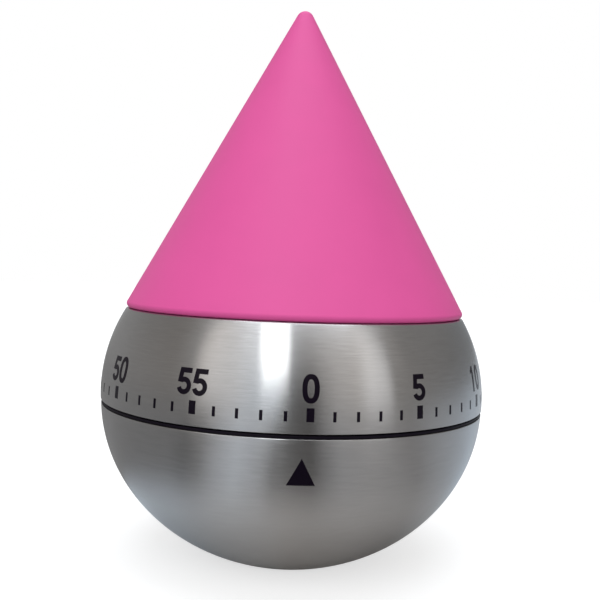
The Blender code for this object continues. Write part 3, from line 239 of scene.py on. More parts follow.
def make_cone(material):
    """The grip, a hollow cone with a rounded tip and lower edge."""
    # The side is the line that touches both the rounding of the CAD's edge and that of the tip.
    edge_axis_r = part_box("cone_cap")[1].x - CONE_EDGE_R
    edge_z = SHELL_TOP_Z + SEAT_GAP + CONE_EDGE_R
    tip_z = CONE_TOP_Z - CONE_TIP_R
    gap = math.hypot(edge_axis_r, tip_z - edge_z)
    lean = math.atan2(edge_axis_r, tip_z - edge_z) - math.asin((CONE_TIP_R - CONE_EDGE_R) / gap)
    # A wider rounding touches the same line and the lower face.
    round_z = CONE_LOW_Z + CONE_ROUND
    reach = CONE_TIP_R - CONE_ROUND + (tip_z - round_z) * math.sin(lean)
    round_axis_r = reach / math.cos(lean)
    lean = math.degrees(lean)
    edge = arc(CONE_ROUND, -90, lean, 2 * ROUND_STEPS, (round_axis_r, round_z))
    tip = arc(CONE_TIP_R, lean, 90, 2 * ROUND_STEPS, (0, tip_z))
    tip[-1] = (0, CONE_TOP_Z)
    side = []
    for k in range(1, CURVE_STEPS):
        share = k / CURVE_STEPS
        side.append(tuple(Vector(edge[-1]).lerp(Vector(tip[0]), share)))
    inner_r = edge_axis_r - CONE_WALL
    inner_top = CONE_LOW_Z + (inner_r - CONE_TIP_R) / math.tan(math.radians(lean))
    inside = [(inner_r, CONE_LOW_Z), (CONE_TIP_R, inner_top), (0, inner_top)]
    return turned("cone_grip", (edge + side + tip)[::-1] + inside, material)


def make_dial_shell(material):
    """The steel shell that turns, from its lip at the seam up to the flange under the cone."""
    outside = shell_outside()
    inside = shell_inside()
    flange_r = outside[-1][0] - SHELL_FLANGE_W
    flange = [(flange_r, SHELL_TOP_Z - STEEL_WALL), (flange_r, SHELL_TOP_Z)]
    lip = edge_rounding(outside, inside, -1)
    return turned("dial_shell", outside[::-1][:-1] + lip + inside[1:] + flange, material)


def edge_rounding(outside, inside, side):
    """The cut edge between the first points of two sections, on their low (-1) or high (1) side."""
    height = outside[0][1] - side * LIP_R
    outer = arc(LIP_R, 0, side * 90, ROUND_STEPS, (outside[0][0] - LIP_R, height))
    inner = arc(LIP_R, side * 90, side * 180, ROUND_STEPS, (inside[0][0] + LIP_R, height))
    return outer + inner


def make_ring(material):
    """The black slip ring that shows in the seam."""
    inner = RING_OUT_R - RING_EDGE_R
    section = arc(RING_EDGE_R, 90, 0, ROUND_STEPS, (inner, RING_TOP_Z - RING_EDGE_R))
    section += arc(RING_EDGE_R, 0, -90, ROUND_STEPS, (inner, RING_LOW_Z + RING_EDGE_R))
    section += [(RING_OUT_R - RING_W, RING_LOW_Z), (RING_OUT_R - RING_W, RING_TOP_Z)]
    return turned("slip_ring", section, material)


def make_bowl(material):
    """The bowl with its rounded rim, the recess for the foot and the hole for its screw."""
    floor_z = BOWL_LOW_Z + FOOT_RECESS + STEEL_WALL
    outside = bowl_section(0.0, BOWL_LOW_Z)
    inside = bowl_section(STEEL_WALL, floor_z)
    lip = edge_rounding(outside, inside, 1)
    recess_r = BOWL_FLAT_R - FOOT_LIP
    floor = [
        (recess_r, BOWL_LOW_Z),
        (recess_r, BOWL_LOW_Z + FOOT_RECESS),
        (BOWL_HOLE_R, BOWL_LOW_Z + FOOT_RECESS),
        (BOWL_HOLE_R, floor_z),
    ]
    return turned("steel_bowl", lip[::-1] + outside[1:] + floor + inside[:0:-1], material)


def make_foot(material):
    """The rubber ring under the bowl, with three grooves in its lower face."""
    edge_z = FOOT_LOW_Z + FOOT_ROUND
    outer = arc(FOOT_ROUND, 0, -90, ROUND_STEPS, (FOOT_R - FOOT_ROUND, edge_z))
    inner = arc(FOOT_ROUND, -90, -180, ROUND_STEPS, (FOOT_BORE_R + FOOT_ROUND, edge_z))
    grooves = []
    for groove_r in GROOVE_RINGS:
        grooves += arc(GROOVE_R, 0, 180, ROUND_STEPS, (groove_r, FOOT_LOW_Z))
    top = [(FOOT_BORE_R, FOOT_TOP_Z), (FOOT_R, FOOT_TOP_Z)]
    return turned("foot", outer + grooves + inner + top, material)


def cut_out(obj, cutter):
    """Takes the space of one mesh out of another, and removes the cutter."""
    modifier = obj.modifiers.new("cut", "BOOLEAN")
    modifier.object = cutter
    modifier.solver = "EXACT"
    graph = bpy.context.evaluated_depsgraph_get()
    mesh = bpy.data.meshes.new_from_object(obj.evaluated_get(graph))
    obj.modifiers.clear()
    obj.data = mesh
    bpy.data.objects.remove(cutter)


def tapered_bar(name, length, width, low_z, depth):
    """A bar along X that narrows upwards, with its wide side just below a height."""
    form = bmesh.new()
    corners = []
    for z, share in ((low_z - depth / 2, RECESS_WIDE), (low_z + depth, RECESS_NARROW)):
        for sx, sy in ((-1, -1), (1, -1), (1, 1), (-1, 1)):
            corners.append(form.verts.new((sx * length / 2 * share, sy * width / 2 * share, z)))
    form.faces.new(corners[3::-1])
    form.faces.new(corners[4:])
    for k in range(4):
        after = (k + 1) % 4
        form.faces.new((corners[k], corners[after], corners[4 + after], corners[4 + k]))
    return mesh_object(name, form, None)


def make_screw(material):
    """The pan-head screw under the foot, with a cross recess."""
    head_top = SCREW_LOW_Z + SCREW_HEAD_H
    head_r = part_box("bowl_screw")[1].x
    edge_centre = (head_r - SCREW_ROUND, SCREW_LOW_Z + SCREW_ROUND)
    section = [(0, SCREW_LOW_Z), (head_r * SCREW_FLAT, SCREW_LOW_Z)]
    section += arc(SCREW_ROUND, -90, 0, ROUND_STEPS, edge_centre)
    section += [(head_r, head_top), (SCREW_SHANK_R, head_top)]
    section += [(SCREW_SHANK_R, SCREW_TOP_Z - SCREW_ROUND)]
    section += [(SCREW_SHANK_R - SCREW_ROUND, SCREW_TOP_Z), (0, SCREW_TOP_Z)]
    screw = turned("foot_screw", section, material, SCREW_TURN_STEPS)
    for degrees in RECESS_TURNS:
        bar_cutter = tapered_bar("recess", RECESS_LENGTH, RECESS_W, SCREW_LOW_Z, RECESS_DEPTH)
        bar_cutter.data.transform(Matrix.Rotation(math.radians(degrees), 4, "Z"))
        cut_out(screw, bar_cutter)
    return screw


# ---------------------------------------------------------------- ink
def flat_layer(outlines):
    """A thin closed body from outlines in a plane, where one inside another is a hole in it."""
    curve = bpy.data.curves.new("outline", "CURVE")
    curve.dimensions = "2D"
    curve.fill_mode = "BOTH"
    for outline in outlines:
        spline = curve.splines.new("POLY")
        spline.points.add(len(outline) - 1)
        for point, (u, v) in zip(spline.points, outline):
            point.co = (u * OUTLINE_SCALE, v * OUTLINE_SCALE, 0, 1)
        spline.use_cyclic_u = True
    holder = bpy.data.objects.new("outline", curve)
    bpy.context.scene.collection.objects.link(holder)
    graph = bpy.context.evaluated_depsgraph_get()
    form = bmesh.new()
    form.from_mesh(holder.evaluated_get(graph).to_mesh())
    bpy.data.objects.remove(holder)
    bpy.data.curves.remove(curve)
    bmesh.ops.scale(form, vec=[1 / OUTLINE_SCALE] * 3, verts=form.verts)
    bmesh.ops.remove_doubles(form, verts=form.verts, dist=MERGE_DISTANCE)
    cut_in_cells(form)
    thicken(form)
    return form


def cut_in_cells(form):
    """Cuts a flat mesh along a grid, so that it can follow a curved surface."""
    for axis in range(2):
        low = min(vert.co[axis] for vert in form.verts)
        high = max(vert.co[axis] for vert in form.verts)
        cells = math.ceil((high - low) / INK_CELL)
        normal = Vector((0, 0, 0))
        normal[axis] = 1
        for k in range(1, cells):
            place = normal * (low + (high - low) * k / cells)
            parts = form.verts[:] + form.edges[:] + form.faces[:]
            bmesh.ops.bisect_plane(
                form, geom=parts, plane_co=place, plane_no=normal, dist=CUT_TOLERANCE
            )


def thicken(form):
    """Turns a flat mesh into a closed body, from the ink's lower side to its upper one."""
    for vert in form.verts:
        vert.co.z = -INK_SINK
    grown = bmesh.ops.extrude_face_region(form, geom=form.faces[:])
    for part in grown["geom"]:
        if isinstance(part, bmesh.types.BMVert):
            part.co.z = INK_LIFT


def wrap(form, azimuth, radius_at, rise):
    """Bends a flat layer round the axis at an azimuth, its v as height above the seam."""
    for vert in form.verts:
        u, v, lift = vert.co
        z = SEAM_Z + rise + v
        r = radius_at(z)
        angle = azimuth + u / r
        vert.co = ((r + lift) * math.cos(angle), (r + lift) * math.sin(angle), z)


def joined(forms):
    """One bmesh of several, which are freed."""
    whole = bmesh.new()
    for form in forms:
        scratch = bpy.data.meshes.new("scratch")
        form.to_mesh(scratch)
        form.free()
        whole.from_mesh(scratch)
        bpy.data.meshes.remove(scratch)
    return whole


def minute_azimuth(minute):
    """Where a minute is printed: the zero near -Y, and the minutes rising towards +X."""
    return math.tau * minute / MINUTES - math.pi / 2 + DIAL_SLIP


def bar(width, low, top):
    """The outline of an upright mark."""
    half = width / 2
    return [(-half, low), (half, low), (half, top), (-half, top)]


def make_marks(material):
    forms = []
    for minute in range(MINUTES):
        if minute % NUMBER_EVERY == 0:
            form = flat_layer([bar(FIVE_W, FIVE_LOW, FIVE_TOP)])
        else:
            form = flat_layer([bar(MARK_W, MARK_LOW, MARK_TOP)])
        wrap(form, minute_azimuth(minute), dial_radius, 0.0)
        forms.append(form)
    return mesh_object("minute_marks", joined(forms), material)


def make_pointer(material):
    corners = [(0, POINTER_TIP), (-POINTER_HALF_W, POINTER_BASE), (POINTER_HALF_W, POINTER_BASE)]
    form = flat_layer([corners])
    wrap(form, -math.pi / 2, bowl_radius, 0.0)
    return mesh_object("pointer_print", form, material)


# The digits are drawn one unit high, so that every length in them is a share of the height.
DIGIT_W = 0.61
DIGIT_STEP = 0.655  # from one digit's left side to the next one's
STROKE = 0.180
MITRE_LIMIT = -0.5  # cosine of the sharpest turn that a stroke's corner is drawn out for
ZERO_POWER = 2.35  # how square the zero's oval is
ZERO_STEPS = 48


def stroke(points):
    """The outline of a line of constant width, with square ends."""
    left, right = [], []
    last = len(points) - 1
    for k, point in enumerate(points):
        here = Vector(point)
        run_in = (here - Vector(points[max(k - 1, 0)])).normalized()
        run_out = (Vector(points[min(k + 1, last)]) - here).normalized()
        along = (run_in + run_out).normalized()
        across = Vector((-along.y, along.x))
        turn = max(run_in.dot(run_out), MITRE_LIMIT) if run_in.length and run_out.length else 1.0
        reach = STROKE / 2 / math.sqrt((1 + turn) / 2)
        left.append(tuple(here + across * reach))
        right.append(tuple(here - across * reach))
    return left + right[::-1]


def oval(centre, half_w, half_h, start, end, steps, power=2.0):
    """Points on a part of an oval, which is squarer than an ellipse where power is above 2."""
    points = []
    for k in range(steps + 1):
        angle = math.radians(start + (end - start) * k / steps)
        cos, sin = math.cos(angle), math.sin(angle)
        x = math.copysign(abs(cos) ** (2 / power), cos)
        y = math.copysign(abs(sin) ** (2 / power), sin)
        points.append((centre[0] + half_w * x, centre[1] + half_h * y))
    return points


def digit_outlines(digit):
    """The outlines of a digit of 0 to 5, each group of them to be filled by itself."""
    half = STROKE / 2
    mid = DIGIT_W / 2
    top = 1 - half
    if digit == 0:
        shape = (0, 360, ZERO_STEPS, ZERO_POWER)
        outer = oval((mid, 0.5), mid, 0.5, *shape)[:-1]
        inner = oval((mid, 0.5), mid - STROKE, 0.5 - STROKE, *shape)[:-1]
        return [[outer, inner]]
    if digit == 1:
        stem = 0.40
        beak = [(stem - STROKE, 0.79), (0.10, 0.70), (0.10, 0.845), (0.20, 0.90), (0.262, 1.0)]
        return [[[(stem, 0.0), (stem, 1.0)] + beak[::-1] + [(stem - STROKE, 0.0)]]]
    if digit == 2:
        hook = oval((mid, 0.70), mid - half, 0.30 - half, 175, -28, 24)
        path = hook + [(0.395, 0.40), (0.20, 0.235), (0.115, half)]
        base = [(0.02, half), (DIGIT_W, half)]
        return [[stroke(path)], [stroke(base)]]
    if digit == 3:
        high = oval((mid - 0.01, 0.735), mid - half - 0.015, 0.265 - half, 165, -90, 24)
        low = oval((mid - 0.01, 0.285), mid - half, 0.285 - half, 90, -165, 24)
        return [[stroke(high)], [stroke(low)]]
    if digit == 4:
        outer = [(0.34, 0), (0.51, 0), (0.51, 0.215), (0.62, 0.215), (0.62, 0.36), (0.51, 0.36)]
        outer += [(0.51, 1.0), (0.355, 1.0), (0.0, 0.375), (0.0, 0.215), (0.34, 0.215)]
        inner = [(0.34, 0.36), (0.34, 0.70), (0.145, 0.36)]
        return [[outer, inner]]
    bowl = oval((mid - 0.01, 0.325), mid - half, 0.31 - half, 128, -162, 28)
    flag = [(0.575, top - 0.04), (0.155, top - 0.04), (0.105, 0.445)]
    return [[stroke(bowl)], [stroke(flag)]]


def digit_form(digit, left):
    """A digit as a flat layer, its left side at a place along the print."""
    forms = []
    for group in digit_outlines(digit):
        scaled = []
        for outline in group:
            scaled.append([(left + x * NUMBER_H, y * NUMBER_H) for x, y in outline])
        forms.append(flat_layer(scaled))
    return joined(forms)


def make_numbers(material):
    forms = []
    for minute in range(0, MINUTES, NUMBER_EVERY):
        digits = [int(letter) for letter in str(minute)]
        width = (DIGIT_STEP * (len(digits) - 1) + DIGIT_W) * NUMBER_H
        left = NUMBER_SLIPS.get(minute, 0.0) - width / 2
        for place, digit in enumerate(digits):
            form = digit_form(digit, left + place * DIGIT_STEP * NUMBER_H)
            wrap(form, minute_azimuth(minute), dial_radius, NUMBER_LOW)
            forms.append(form)
    return mesh_object("dial_numbers", joined(forms), material)


# ---------------------------------------------------------------- materials
MIX_COLOURS = (6, 7)  # a Mix node's two colour sockets, and its colour result
MIX_RESULT = 2


class Nodes:
    """A node tree, with short calls that make a node and feed it, and return its result."""

    def __init__(self, tree):
        self.tree = tree

    def add(self, kind, **settings):
        node = self.tree.nodes.new("ShaderNode" + kind)
        for key, value in settings.items():
            setattr(node, key, value)
        return node

    def feed(self, socket, value):
        if isinstance(value, bpy.types.NodeSocket):
            self.tree.links.new(value, socket)
        else:
            socket.default_value = value

    def math(self, operation, *values):
        node = self.add("Math", operation=operation)
        for socket, value in zip(node.inputs, values):
            self.feed(socket, value)
        return node.outputs[0]

    def distance(self, x, y):
        squares = self.math("MULTIPLY", x, x), self.math("MULTIPLY", y, y)
        return self.math("SQRT", self.math("ADD", *squares))

    def span(self, value, low, high, out_low, out_high):
        """Maps one range to another, and holds the value at its ends."""
        node = self.add("MapRange")
        keys = ("Value", "From Min", "From Max", "To Min", "To Max")
        for key, part in zip(keys, (value, low, high, out_low, out_high)):
            self.feed(node.inputs[key], part)
        return node.outputs[0]

    def noise(self, vector, scale, detail=2.0, roughness=0.5):
        node = self.add("TexNoise")
        self.feed(node.inputs["Vector"], vector)
        self.feed(node.inputs["Scale"], scale)
        self.feed(node.inputs["Detail"], detail)
        self.feed(node.inputs["Roughness"], roughness)
        return node.outputs[0]

    def combine(self, x, y, z):
        node = self.add("CombineXYZ")
        for socket, value in zip(node.inputs, (x, y, z)):
            self.feed(socket, value)
        return node.outputs[0]

    def blend(self, factor, *colours):
        """A mix of two colours, each a socket or a colour with its alpha."""
        node = self.add("Mix", data_type="RGBA")
        self.feed(node.inputs["Factor"], factor)
        for socket, colour in zip(MIX_COLOURS, colours):
            self.feed(node.inputs[socket], colour)
        return node.outputs[MIX_RESULT]

    def bump(self, height, distance):
        node = self.add("Bump")
        self.feed(node.inputs["Height"], height)
        self.feed(node.inputs["Distance"], distance)
        self.feed(node.inputs["Strength"], 1.0)
        return node.outputs[0]


def new_material(name):
    material = bpy.data.materials.new(name)
    material.use_nodes = True
    nodes = Nodes(material.node_tree)
    shader = material.node_tree.nodes["Principled BSDF"]
    return material, nodes, shader


def shade(colour, factor):
    """A colour made darker or lighter, with its alpha."""
    return (*(min(part * factor, 1.0) for part in colour), 1.0)


GLOSS_SPREAD = 0.03  # how far the roughness of a surface varies either way
LINE_LEVELS = (0.3, 0.7)  # noise levels between which the brushed lines go from dark to light
LINE_TONES = (0.90, 1.08)
LINE_DEPTH = 0.0000032
FINE_LINES = 14000  # to a metre
COARSE_RUN = 8.0  # changes along the lines, to a radian
FINE_RUN = 20.0
FINE_SEED = 3.7
COARSE_SHARE, FINE_SHARE = 0.55, 0.45
LINE_DETAIL, LINE_ROUGHNESS = 3.0, 0.6
ACROSS_THE_LINES = 0.25  # a quarter turn, so that reflections spread up and down


def brushed_steel(name, colour, roughness, narrows, coarse_lines):
    """Stainless steel brushed round the Z axis: fine circles that spread a reflection up and down.

    The lines are counted along the section of a piece that narrows upwards or downwards, with so
    many coarse ones to a metre."""
    material, nodes, shader = new_material(name)
    place = nodes.add("SeparateXYZ")
    nodes.feed(place.inputs[0], nodes.add("TexCoord").outputs["Object"])
    x, y, z = place.outputs
    r = nodes.distance(x, y)
    round_x = nodes.math("DIVIDE", x, r)
    round_y = nodes.math("DIVIDE", y, r)
    height = nodes.math("SUBTRACT" if narrows == "upwards" else "ADD", z, r)
    layers = []
    for across, along, seed in ((coarse_lines, COARSE_RUN, 0.0), (FINE_LINES, FINE_RUN, FINE_SEED)):
        shift = nodes.math("ADD", nodes.math("MULTIPLY", height, across), seed)
        run_x = nodes.math("MULTIPLY", round_x, along)
        run_y = nodes.math("MULTIPLY", round_y, along)
        vector = nodes.combine(run_x, run_y, shift)
        layers.append(nodes.noise(vector, 1.0, LINE_DETAIL, LINE_ROUGHNESS))
    coarse = nodes.math("MULTIPLY", layers[0], COARSE_SHARE)
    fine = nodes.math("MULTIPLY", layers[1], FINE_SHARE)
    lines = nodes.math("ADD", coarse, fine)
    tone = nodes.span(lines, *LINE_LEVELS, 0.0, 1.0)
    tones = [shade(colour, share) for share in LINE_TONES]
    gloss = (roughness - GLOSS_SPREAD, roughness + GLOSS_SPREAD)
    nodes.feed(shader.inputs["Base Color"], nodes.blend(tone, *tones))
    nodes.feed(shader.inputs["Roughness"], nodes.span(lines, *LINE_LEVELS, *gloss))
    nodes.feed(shader.inputs["Normal"], nodes.bump(lines, LINE_DEPTH))
    shader.inputs["Metallic"].default_value = 1.0
    shader.inputs["Anisotropic"].default_value = 1.0
    shader.inputs["Anisotropic Rotation"].default_value = ACROSS_THE_LINES
    tangent = nodes.add("Tangent", direction_type="RADIAL", axis="Z")
    nodes.feed(shader.inputs["Tangent"], tangent.outputs[0])
    return material


GRAIN_DETAIL, GRAIN_ROUGHNESS = 3.0, 0.55
DRIFT_SIZE = 40  # grains to a patch of the slow drift
GRAIN_SHARE, DRIFT_SHARE = 0.4, 0.6
GRAIN_LEVELS = (0.35, 0.65)  # noise levels between which the tone goes from dark to light


def grained(name, colour, metallic, roughness, grain, depth, spread=0.05, specular=0.5):
    """A moulded, cast or stamped surface: a fine grain, and a slow drift of its tone and gloss.

    The grain's size and depth are in metres, and the spread is how far the tone varies."""
    material, nodes, shader = new_material(name)
    place = nodes.add("TexCoord").outputs["Object"]
    fine = nodes.noise(place, 1 / grain, GRAIN_DETAIL, GRAIN_ROUGHNESS)
    slow = nodes.noise(place, 1 / (DRIFT_SIZE * grain))
    grain_part = nodes.math("MULTIPLY", fine, GRAIN_SHARE)
    drift_part = nodes.math("MULTIPLY", slow, DRIFT_SHARE)
    tone = nodes.span(nodes.math("ADD", grain_part, drift_part), *GRAIN_LEVELS, 0.0, 1.0)
    gloss = (roughness - GLOSS_SPREAD, roughness + GLOSS_SPREAD)
    dark, light = shade(colour, 1 - spread), shade(colour, 1 + spread)
    nodes.feed(shader.inputs["Base Color"], nodes.blend(tone, dark, light))
    nodes.feed(shader.inputs["Roughness"], nodes.span(slow, *GRAIN_LEVELS, *gloss))
    nodes.feed(shader.inputs["Normal"], nodes.bump(fine, depth))
    shader.inputs["Metallic"].default_value = metallic
    shader.inputs["Specular IOR Level"].default_value = specular
    return material


CONE_PINK = (0.797, 0.103, 0.354)
STEEL_GREY = (0.50, 0.49, 0.485)
INK = (0.0045, 0.0018, 0.0072)

cone_pink = grained("soft_touch_pink", CONE_PINK, 0.0, 0.50, 0.00016, 0.000004, 0.015, 0.25)
dial_steel = brushed_steel("dial_brushed_steel", STEEL_GREY, 0.22, "upwards", 6000)
bowl_steel = brushed_steel("bowl_brushed_steel", STEEL_GREY, 0.24, "downwards", 2600)
dial_ink = grained("printed_ink", INK, 0.0, 0.26, 0.00012, 0.000001, 0.15, 0.15)
ring_plastic = grained("black_ring_plastic", INK, 0.0, 0.5, 0.0003, 0.000004, 0.15, 0.15)
foot_rubber = grained("matt_rubber", (0.022, 0.022, 0.023), 0.0, 0.78, 0.00022, 0.000012, 0.2)

# The finish of each slot in the record: name, colour, metallic, roughness, grain, depth, spread
FINISH_ROWS = {
    "chassis_plastic": ("black_chassis_plastic", (0.010, 0.008, 0.010), 0.0, 0.5, 0.0003, 0.000008, 0.15),
    "carrier_plastic": ("black_carrier_plastic", (0.016, 0.015, 0.017), 0.0, 0.45, 0.0003, 0.000008, 0.15),
    "arbor_steel": ("turned_steel", (0.56, 0.56, 0.57), 1.0, 0.22, 0.0001, 0.000001),
    "sheet_steel": ("stamped_steel", (0.50, 0.50, 0.51), 1.0, 0.34, 0.0002, 0.000003),
    "spring_steel": ("blued_steel", (0.11, 0.15, 0.27), 1.0, 0.24, 0.0003, 0.000002, 0.2),
    "gong_steel": ("nickel_plate", (0.62, 0.60, 0.57), 1.0, 0.14, 0.0004, 0.000001),
    "screw_steel": ("zinc_plate", (0.60, 0.61, 0.63), 1.0, 0.3, 0.0001, 0.000002),
    "post_brass": ("turned_brass", (0.72, 0.53, 0.22), 1.0, 0.22, 0.0001, 0.000001),
    "plate_brass": ("brushed_brass", (0.72, 0.54, 0.24), 1.0, 0.33, 0.0002, 0.000003),
    "wheel_brass": ("stamped_brass", (0.74, 0.55, 0.24), 1.0, 0.28, 0.0002, 0.000002),
}
FINISHES = {slot_name: grained(*row) for slot_name, row in FINISH_ROWS.items()}


def dress_the_rest(hidden):
    """Gives every CAD piece that keeps its own shape the finish of its slot."""
    for part in frame["record"]["subparts"]:
        if part["node"] in hidden:
            continue
        obj = frame["nodes"][part["node"]]
        finish = FINISHES[part["material_slot"]]
        for slot in obj.material_slots:
            slot.material = finish


# ---------------------------------------------------------------- camera, light and surroundings
CAMERA_TURN = math.radians(3.1)  # the camera stands this far round to the left of the pointer
CAMERA_DISTANCE = 0.1459
CAMERA_RISE = 0.0230  # above the seam
CAMERA_YAW = 0.006  # radians, to the right
CAMERA_PITCH = 0.041  # downwards
CAMERA_ROLL = 0.037
CAMERA_LENS = 50.35  # millimetres, as the sensor's width
SENSOR_W = 36
NEAREST, FARTHEST = 0.01, 20  # what the camera draws


def make_camera():
    level = math.cos(CAMERA_PITCH)
    yaw_sin, yaw_cos = math.sin(CAMERA_YAW), math.cos(CAMERA_YAW)
    roll_sin, roll_cos = math.sin(CAMERA_ROLL), math.cos(CAMERA_ROLL)
    ahead = Vector((yaw_sin * level, yaw_cos * level, -math.sin(CAMERA_PITCH)))
    right = Vector((yaw_cos, -yaw_sin, 0))
    up = right.cross(ahead)
    side = roll_cos * right + roll_sin * up
    head = roll_cos * up - roll_sin * right
    turn = Matrix((side, head, -ahead)).transposed().to_4x4()
    place = Matrix.Translation((0, -CAMERA_DISTANCE, SEAM_Z + CAMERA_RISE))
    camera = bpy.data.objects.new("camera", bpy.data.cameras.new("camera"))
    camera.data.lens = CAMERA_LENS
    camera.data.sensor_width = SENSOR_W
    camera.data.clip_start = NEAREST
    camera.data.clip_end = FARTHEST
    camera.matrix_world = Matrix.Rotation(-CAMERA_TURN, 4, "Z") @ place @ turn
    bpy.context.scene.collection.objects.link(camera)
    bpy.context.scene.camera = camera


PANEL_DISTANCE = 1.2  # from the object to the lamps


def make_panel(name, azimuth, low, high, width, radiance, colour, tilt=0.0):
    """A soft lamp that fills a width and a range of elevations, as seen from the object.

    Azimuth 0 is on the camera's side and rises to its right. A tilt leans the lamp's top to the
    left. The angles are in degrees."""
    middle = math.radians((low + high) / 2)
    turn = math.radians(azimuth) - CAMERA_TURN
    level = math.cos(middle)
    out = Vector((math.sin(turn) * level, -math.cos(turn) * level, math.sin(middle)))
    lamp = bpy.data.lights.new(name, "AREA")
    lamp.shape = "RECTANGLE"
    lamp.size = 2 * PANEL_DISTANCE * math.tan(math.radians(width / 2))
    lamp.size_y = 2 * PANEL_DISTANCE * math.tan(math.radians((high - low) / 2))
    lamp.energy = radiance * math.pi * lamp.size * lamp.size_y
    lamp.color = colour
    obj = bpy.data.objects.new(name, lamp)
    obj.location = Vector((0, 0, SEAM_Z)) + out * PANEL_DISTANCE
    obj.rotation_mode = "QUATERNION"
    lean = Quaternion((0, 0, 1), math.radians(tilt))
    obj.rotation_quaternion = out.to_track_quat("Z", "Y") @ lean
    obj.visible_camera = False
    bpy.context.scene.collection.objects.link(obj)
    return obj


WHITE_IN_METAL = 0.03  # share of the white background that metal and glass show


def white_for_camera(nodes):
    """1 for a camera ray, and a smaller share for a ray off metal or through glass."""
    path = nodes.add("LightPath")
    others = nodes.math("ADD", path.outputs["Is Glossy Ray"], path.outputs["Is Transmission Ray"])
    share = nodes.math("MULTIPLY", others, WHITE_IN_METAL)
    return nodes.math("ADD", path.outputs["Is Camera Ray"], share)


# What stands round the object, by azimuth in degrees: 0 is behind the camera, 90 to its right.
# Each stop is (azimuth, level, warmth), and warmth below 0 is bluish.
ROOM_LOW = (  # at eye level
    (-180, 0.34, -0.05), (-150, 0.29, 0.00), (-128, 0.33, 0.00), (-73, 0.28, 0.05),
    (-60, 0.30, 0.04), (-54, 0.82, 0.03), (-47, 1.10, 0.01), (-33, 0.96, 0.00),
    (-24, 0.86, -0.06), (-14, 0.88, -0.12), (-8, 0.88, -0.12), (-4, 0.18, -0.10),
    (3, 0.05, 0.00), (13, 0.05, 0.02), (18, 0.34, 0.03), (26, 0.57, 0.03), (38, 0.68, 0.04),
    (46, 1.18, 0.00), (57, 1.00, 0.00), (62, 0.34, 0.04), (84, 0.25, 0.04), (110, 0.20, 0.02),
    (131, 0.21, -0.02), (155, 0.22, -0.05), (180, 0.34, -0.05),
)
ROOM_HIGH = (  # from half-way up
    (-180, 0.32, 0.00), (-150, 0.24, 0.00), (-118, 0.26, 0.03), (-80, 0.25, 0.06),
    (-70, 0.42, 0.02), (-64, 0.44, 0.00), (-61, 1.00, 0.04), (-56, 1.15, 0.04),
    (-41, 1.02, 0.00), (-25, 1.26, -0.04), (-6, 0.90, -0.04), (0, 0.62, -0.03), (8, 0.44, 0.02),
    (21, 0.62, 0.03), (40, 0.80, 0.04), (50, 1.22, 0.02), (59, 1.10, 0.00), (63, 0.36, 0.02),
    (70, 0.46, 0.04), (76, 0.28, 0.03), (140, 0.28, 0.00), (180, 0.32, 0.00),
)
PAINTED_TABLE_LIGHT = (  # painted light and shade of a table top, which only the steel shows
    (-180, 0.34, -0.02), (-150, 0.20, 0.02), (-120, 0.25, 0.01), (-60, 0.20, 0.00),
    (-50, 0.14, 0.00), (-42, 0.20, 0.00), (-34, 0.46, -0.04), (-24, 0.66, -0.06),
    (-14, 0.46, -0.03), (-7, 0.14, 0.03), (10, 0.08, 0.04), (17, 0.24, 0.00), (24, 0.37, 0.00),
    (38, 0.36, 0.02), (52, 0.34, 0.02), (64, 0.28, 0.02), (80, 0.40, -0.03), (122, 0.58, -0.10),
    (150, 0.50, -0.06), (180, 0.34, -0.02),
)
PAINTED_TABLE_LIGHT_CLOSE = (  # painted light and shade of the table top close to the foot, which only the steel shows
    (-180, 0.64, -0.05), (-120, 0.86, -0.10), (-60, 0.80, -0.08), (-32, 0.75, -0.02),
    (0, 0.69, 0.04), (60, 0.52, 0.03), (120, 0.60, -0.04), (180, 0.64, -0.05),
)
CEILING = (0.85, 0.85, 0.87, 1.0)
EYE_LEVEL = (0.20, 0.52)  # sines of the heights between which the low room turns into the high one
CEILING_LEVEL = (0.72, 0.95)


def round_about(nodes, x, y, stops):
    """The colour at the azimuth of a direction or a place, from a ring of stops."""
    azimuth = nodes.math("ARCTAN2", x, nodes.math("MULTIPLY", y, -1.0))
    turn = nodes.math("DIVIDE", nodes.math("ADD", azimuth, CAMERA_TURN), math.tau)
    ramp = nodes.add("ValToRGB")
    nodes.feed(ramp.inputs[0], nodes.math("ADD", turn, 0.5))
    elements = ramp.color_ramp.elements
    elements.remove(elements[1])
    for k, (degrees, level, warmth) in enumerate(stops):
        place = (degrees + 180) / 360
        element = elements[0] if k == 0 else elements.new(place)
        element.position = place
        element.color = (level * (1 + warmth), level, level * (1 - warmth), 1.0)
    return ramp.outputs[0]


def make_room():
    """The light from all round, by azimuth and height, and the white that a camera ray sees."""
    world = bpy.data.worlds.new("room")
    world.use_nodes = True
    nodes = Nodes(world.node_tree)
    world.node_tree.nodes.clear()
    way = nodes.add("SeparateXYZ")
    nodes.feed(way.inputs[0], nodes.add("TexCoord").outputs["Generated"])
    x, y, z = way.outputs
    low, high = round_about(nodes, x, y, ROOM_LOW), round_about(nodes, x, y, ROOM_HIGH)
    walls = nodes.blend(nodes.span(z, *EYE_LEVEL, 0.0, 1.0), low, high)
    lit = nodes.blend(nodes.span(z, *CEILING_LEVEL, 0.0, 1.0), walls, CEILING)
    room = nodes.add("Background")
    nodes.feed(room.inputs["Color"], lit)
    white = nodes.add("Background")
    nodes.feed(white.inputs["Color"], (1, 1, 1, 1))
    mix = nodes.add("MixShader")
    nodes.feed(mix.inputs[0], white_for_camera(nodes))
    nodes.feed(mix.inputs[1], room.outputs[0])
    nodes.feed(mix.inputs[2], white.outputs[0])
    nodes.feed(nodes.add("OutputWorld").inputs[0], mix.outputs[0])
    bpy.context.scene.world = world


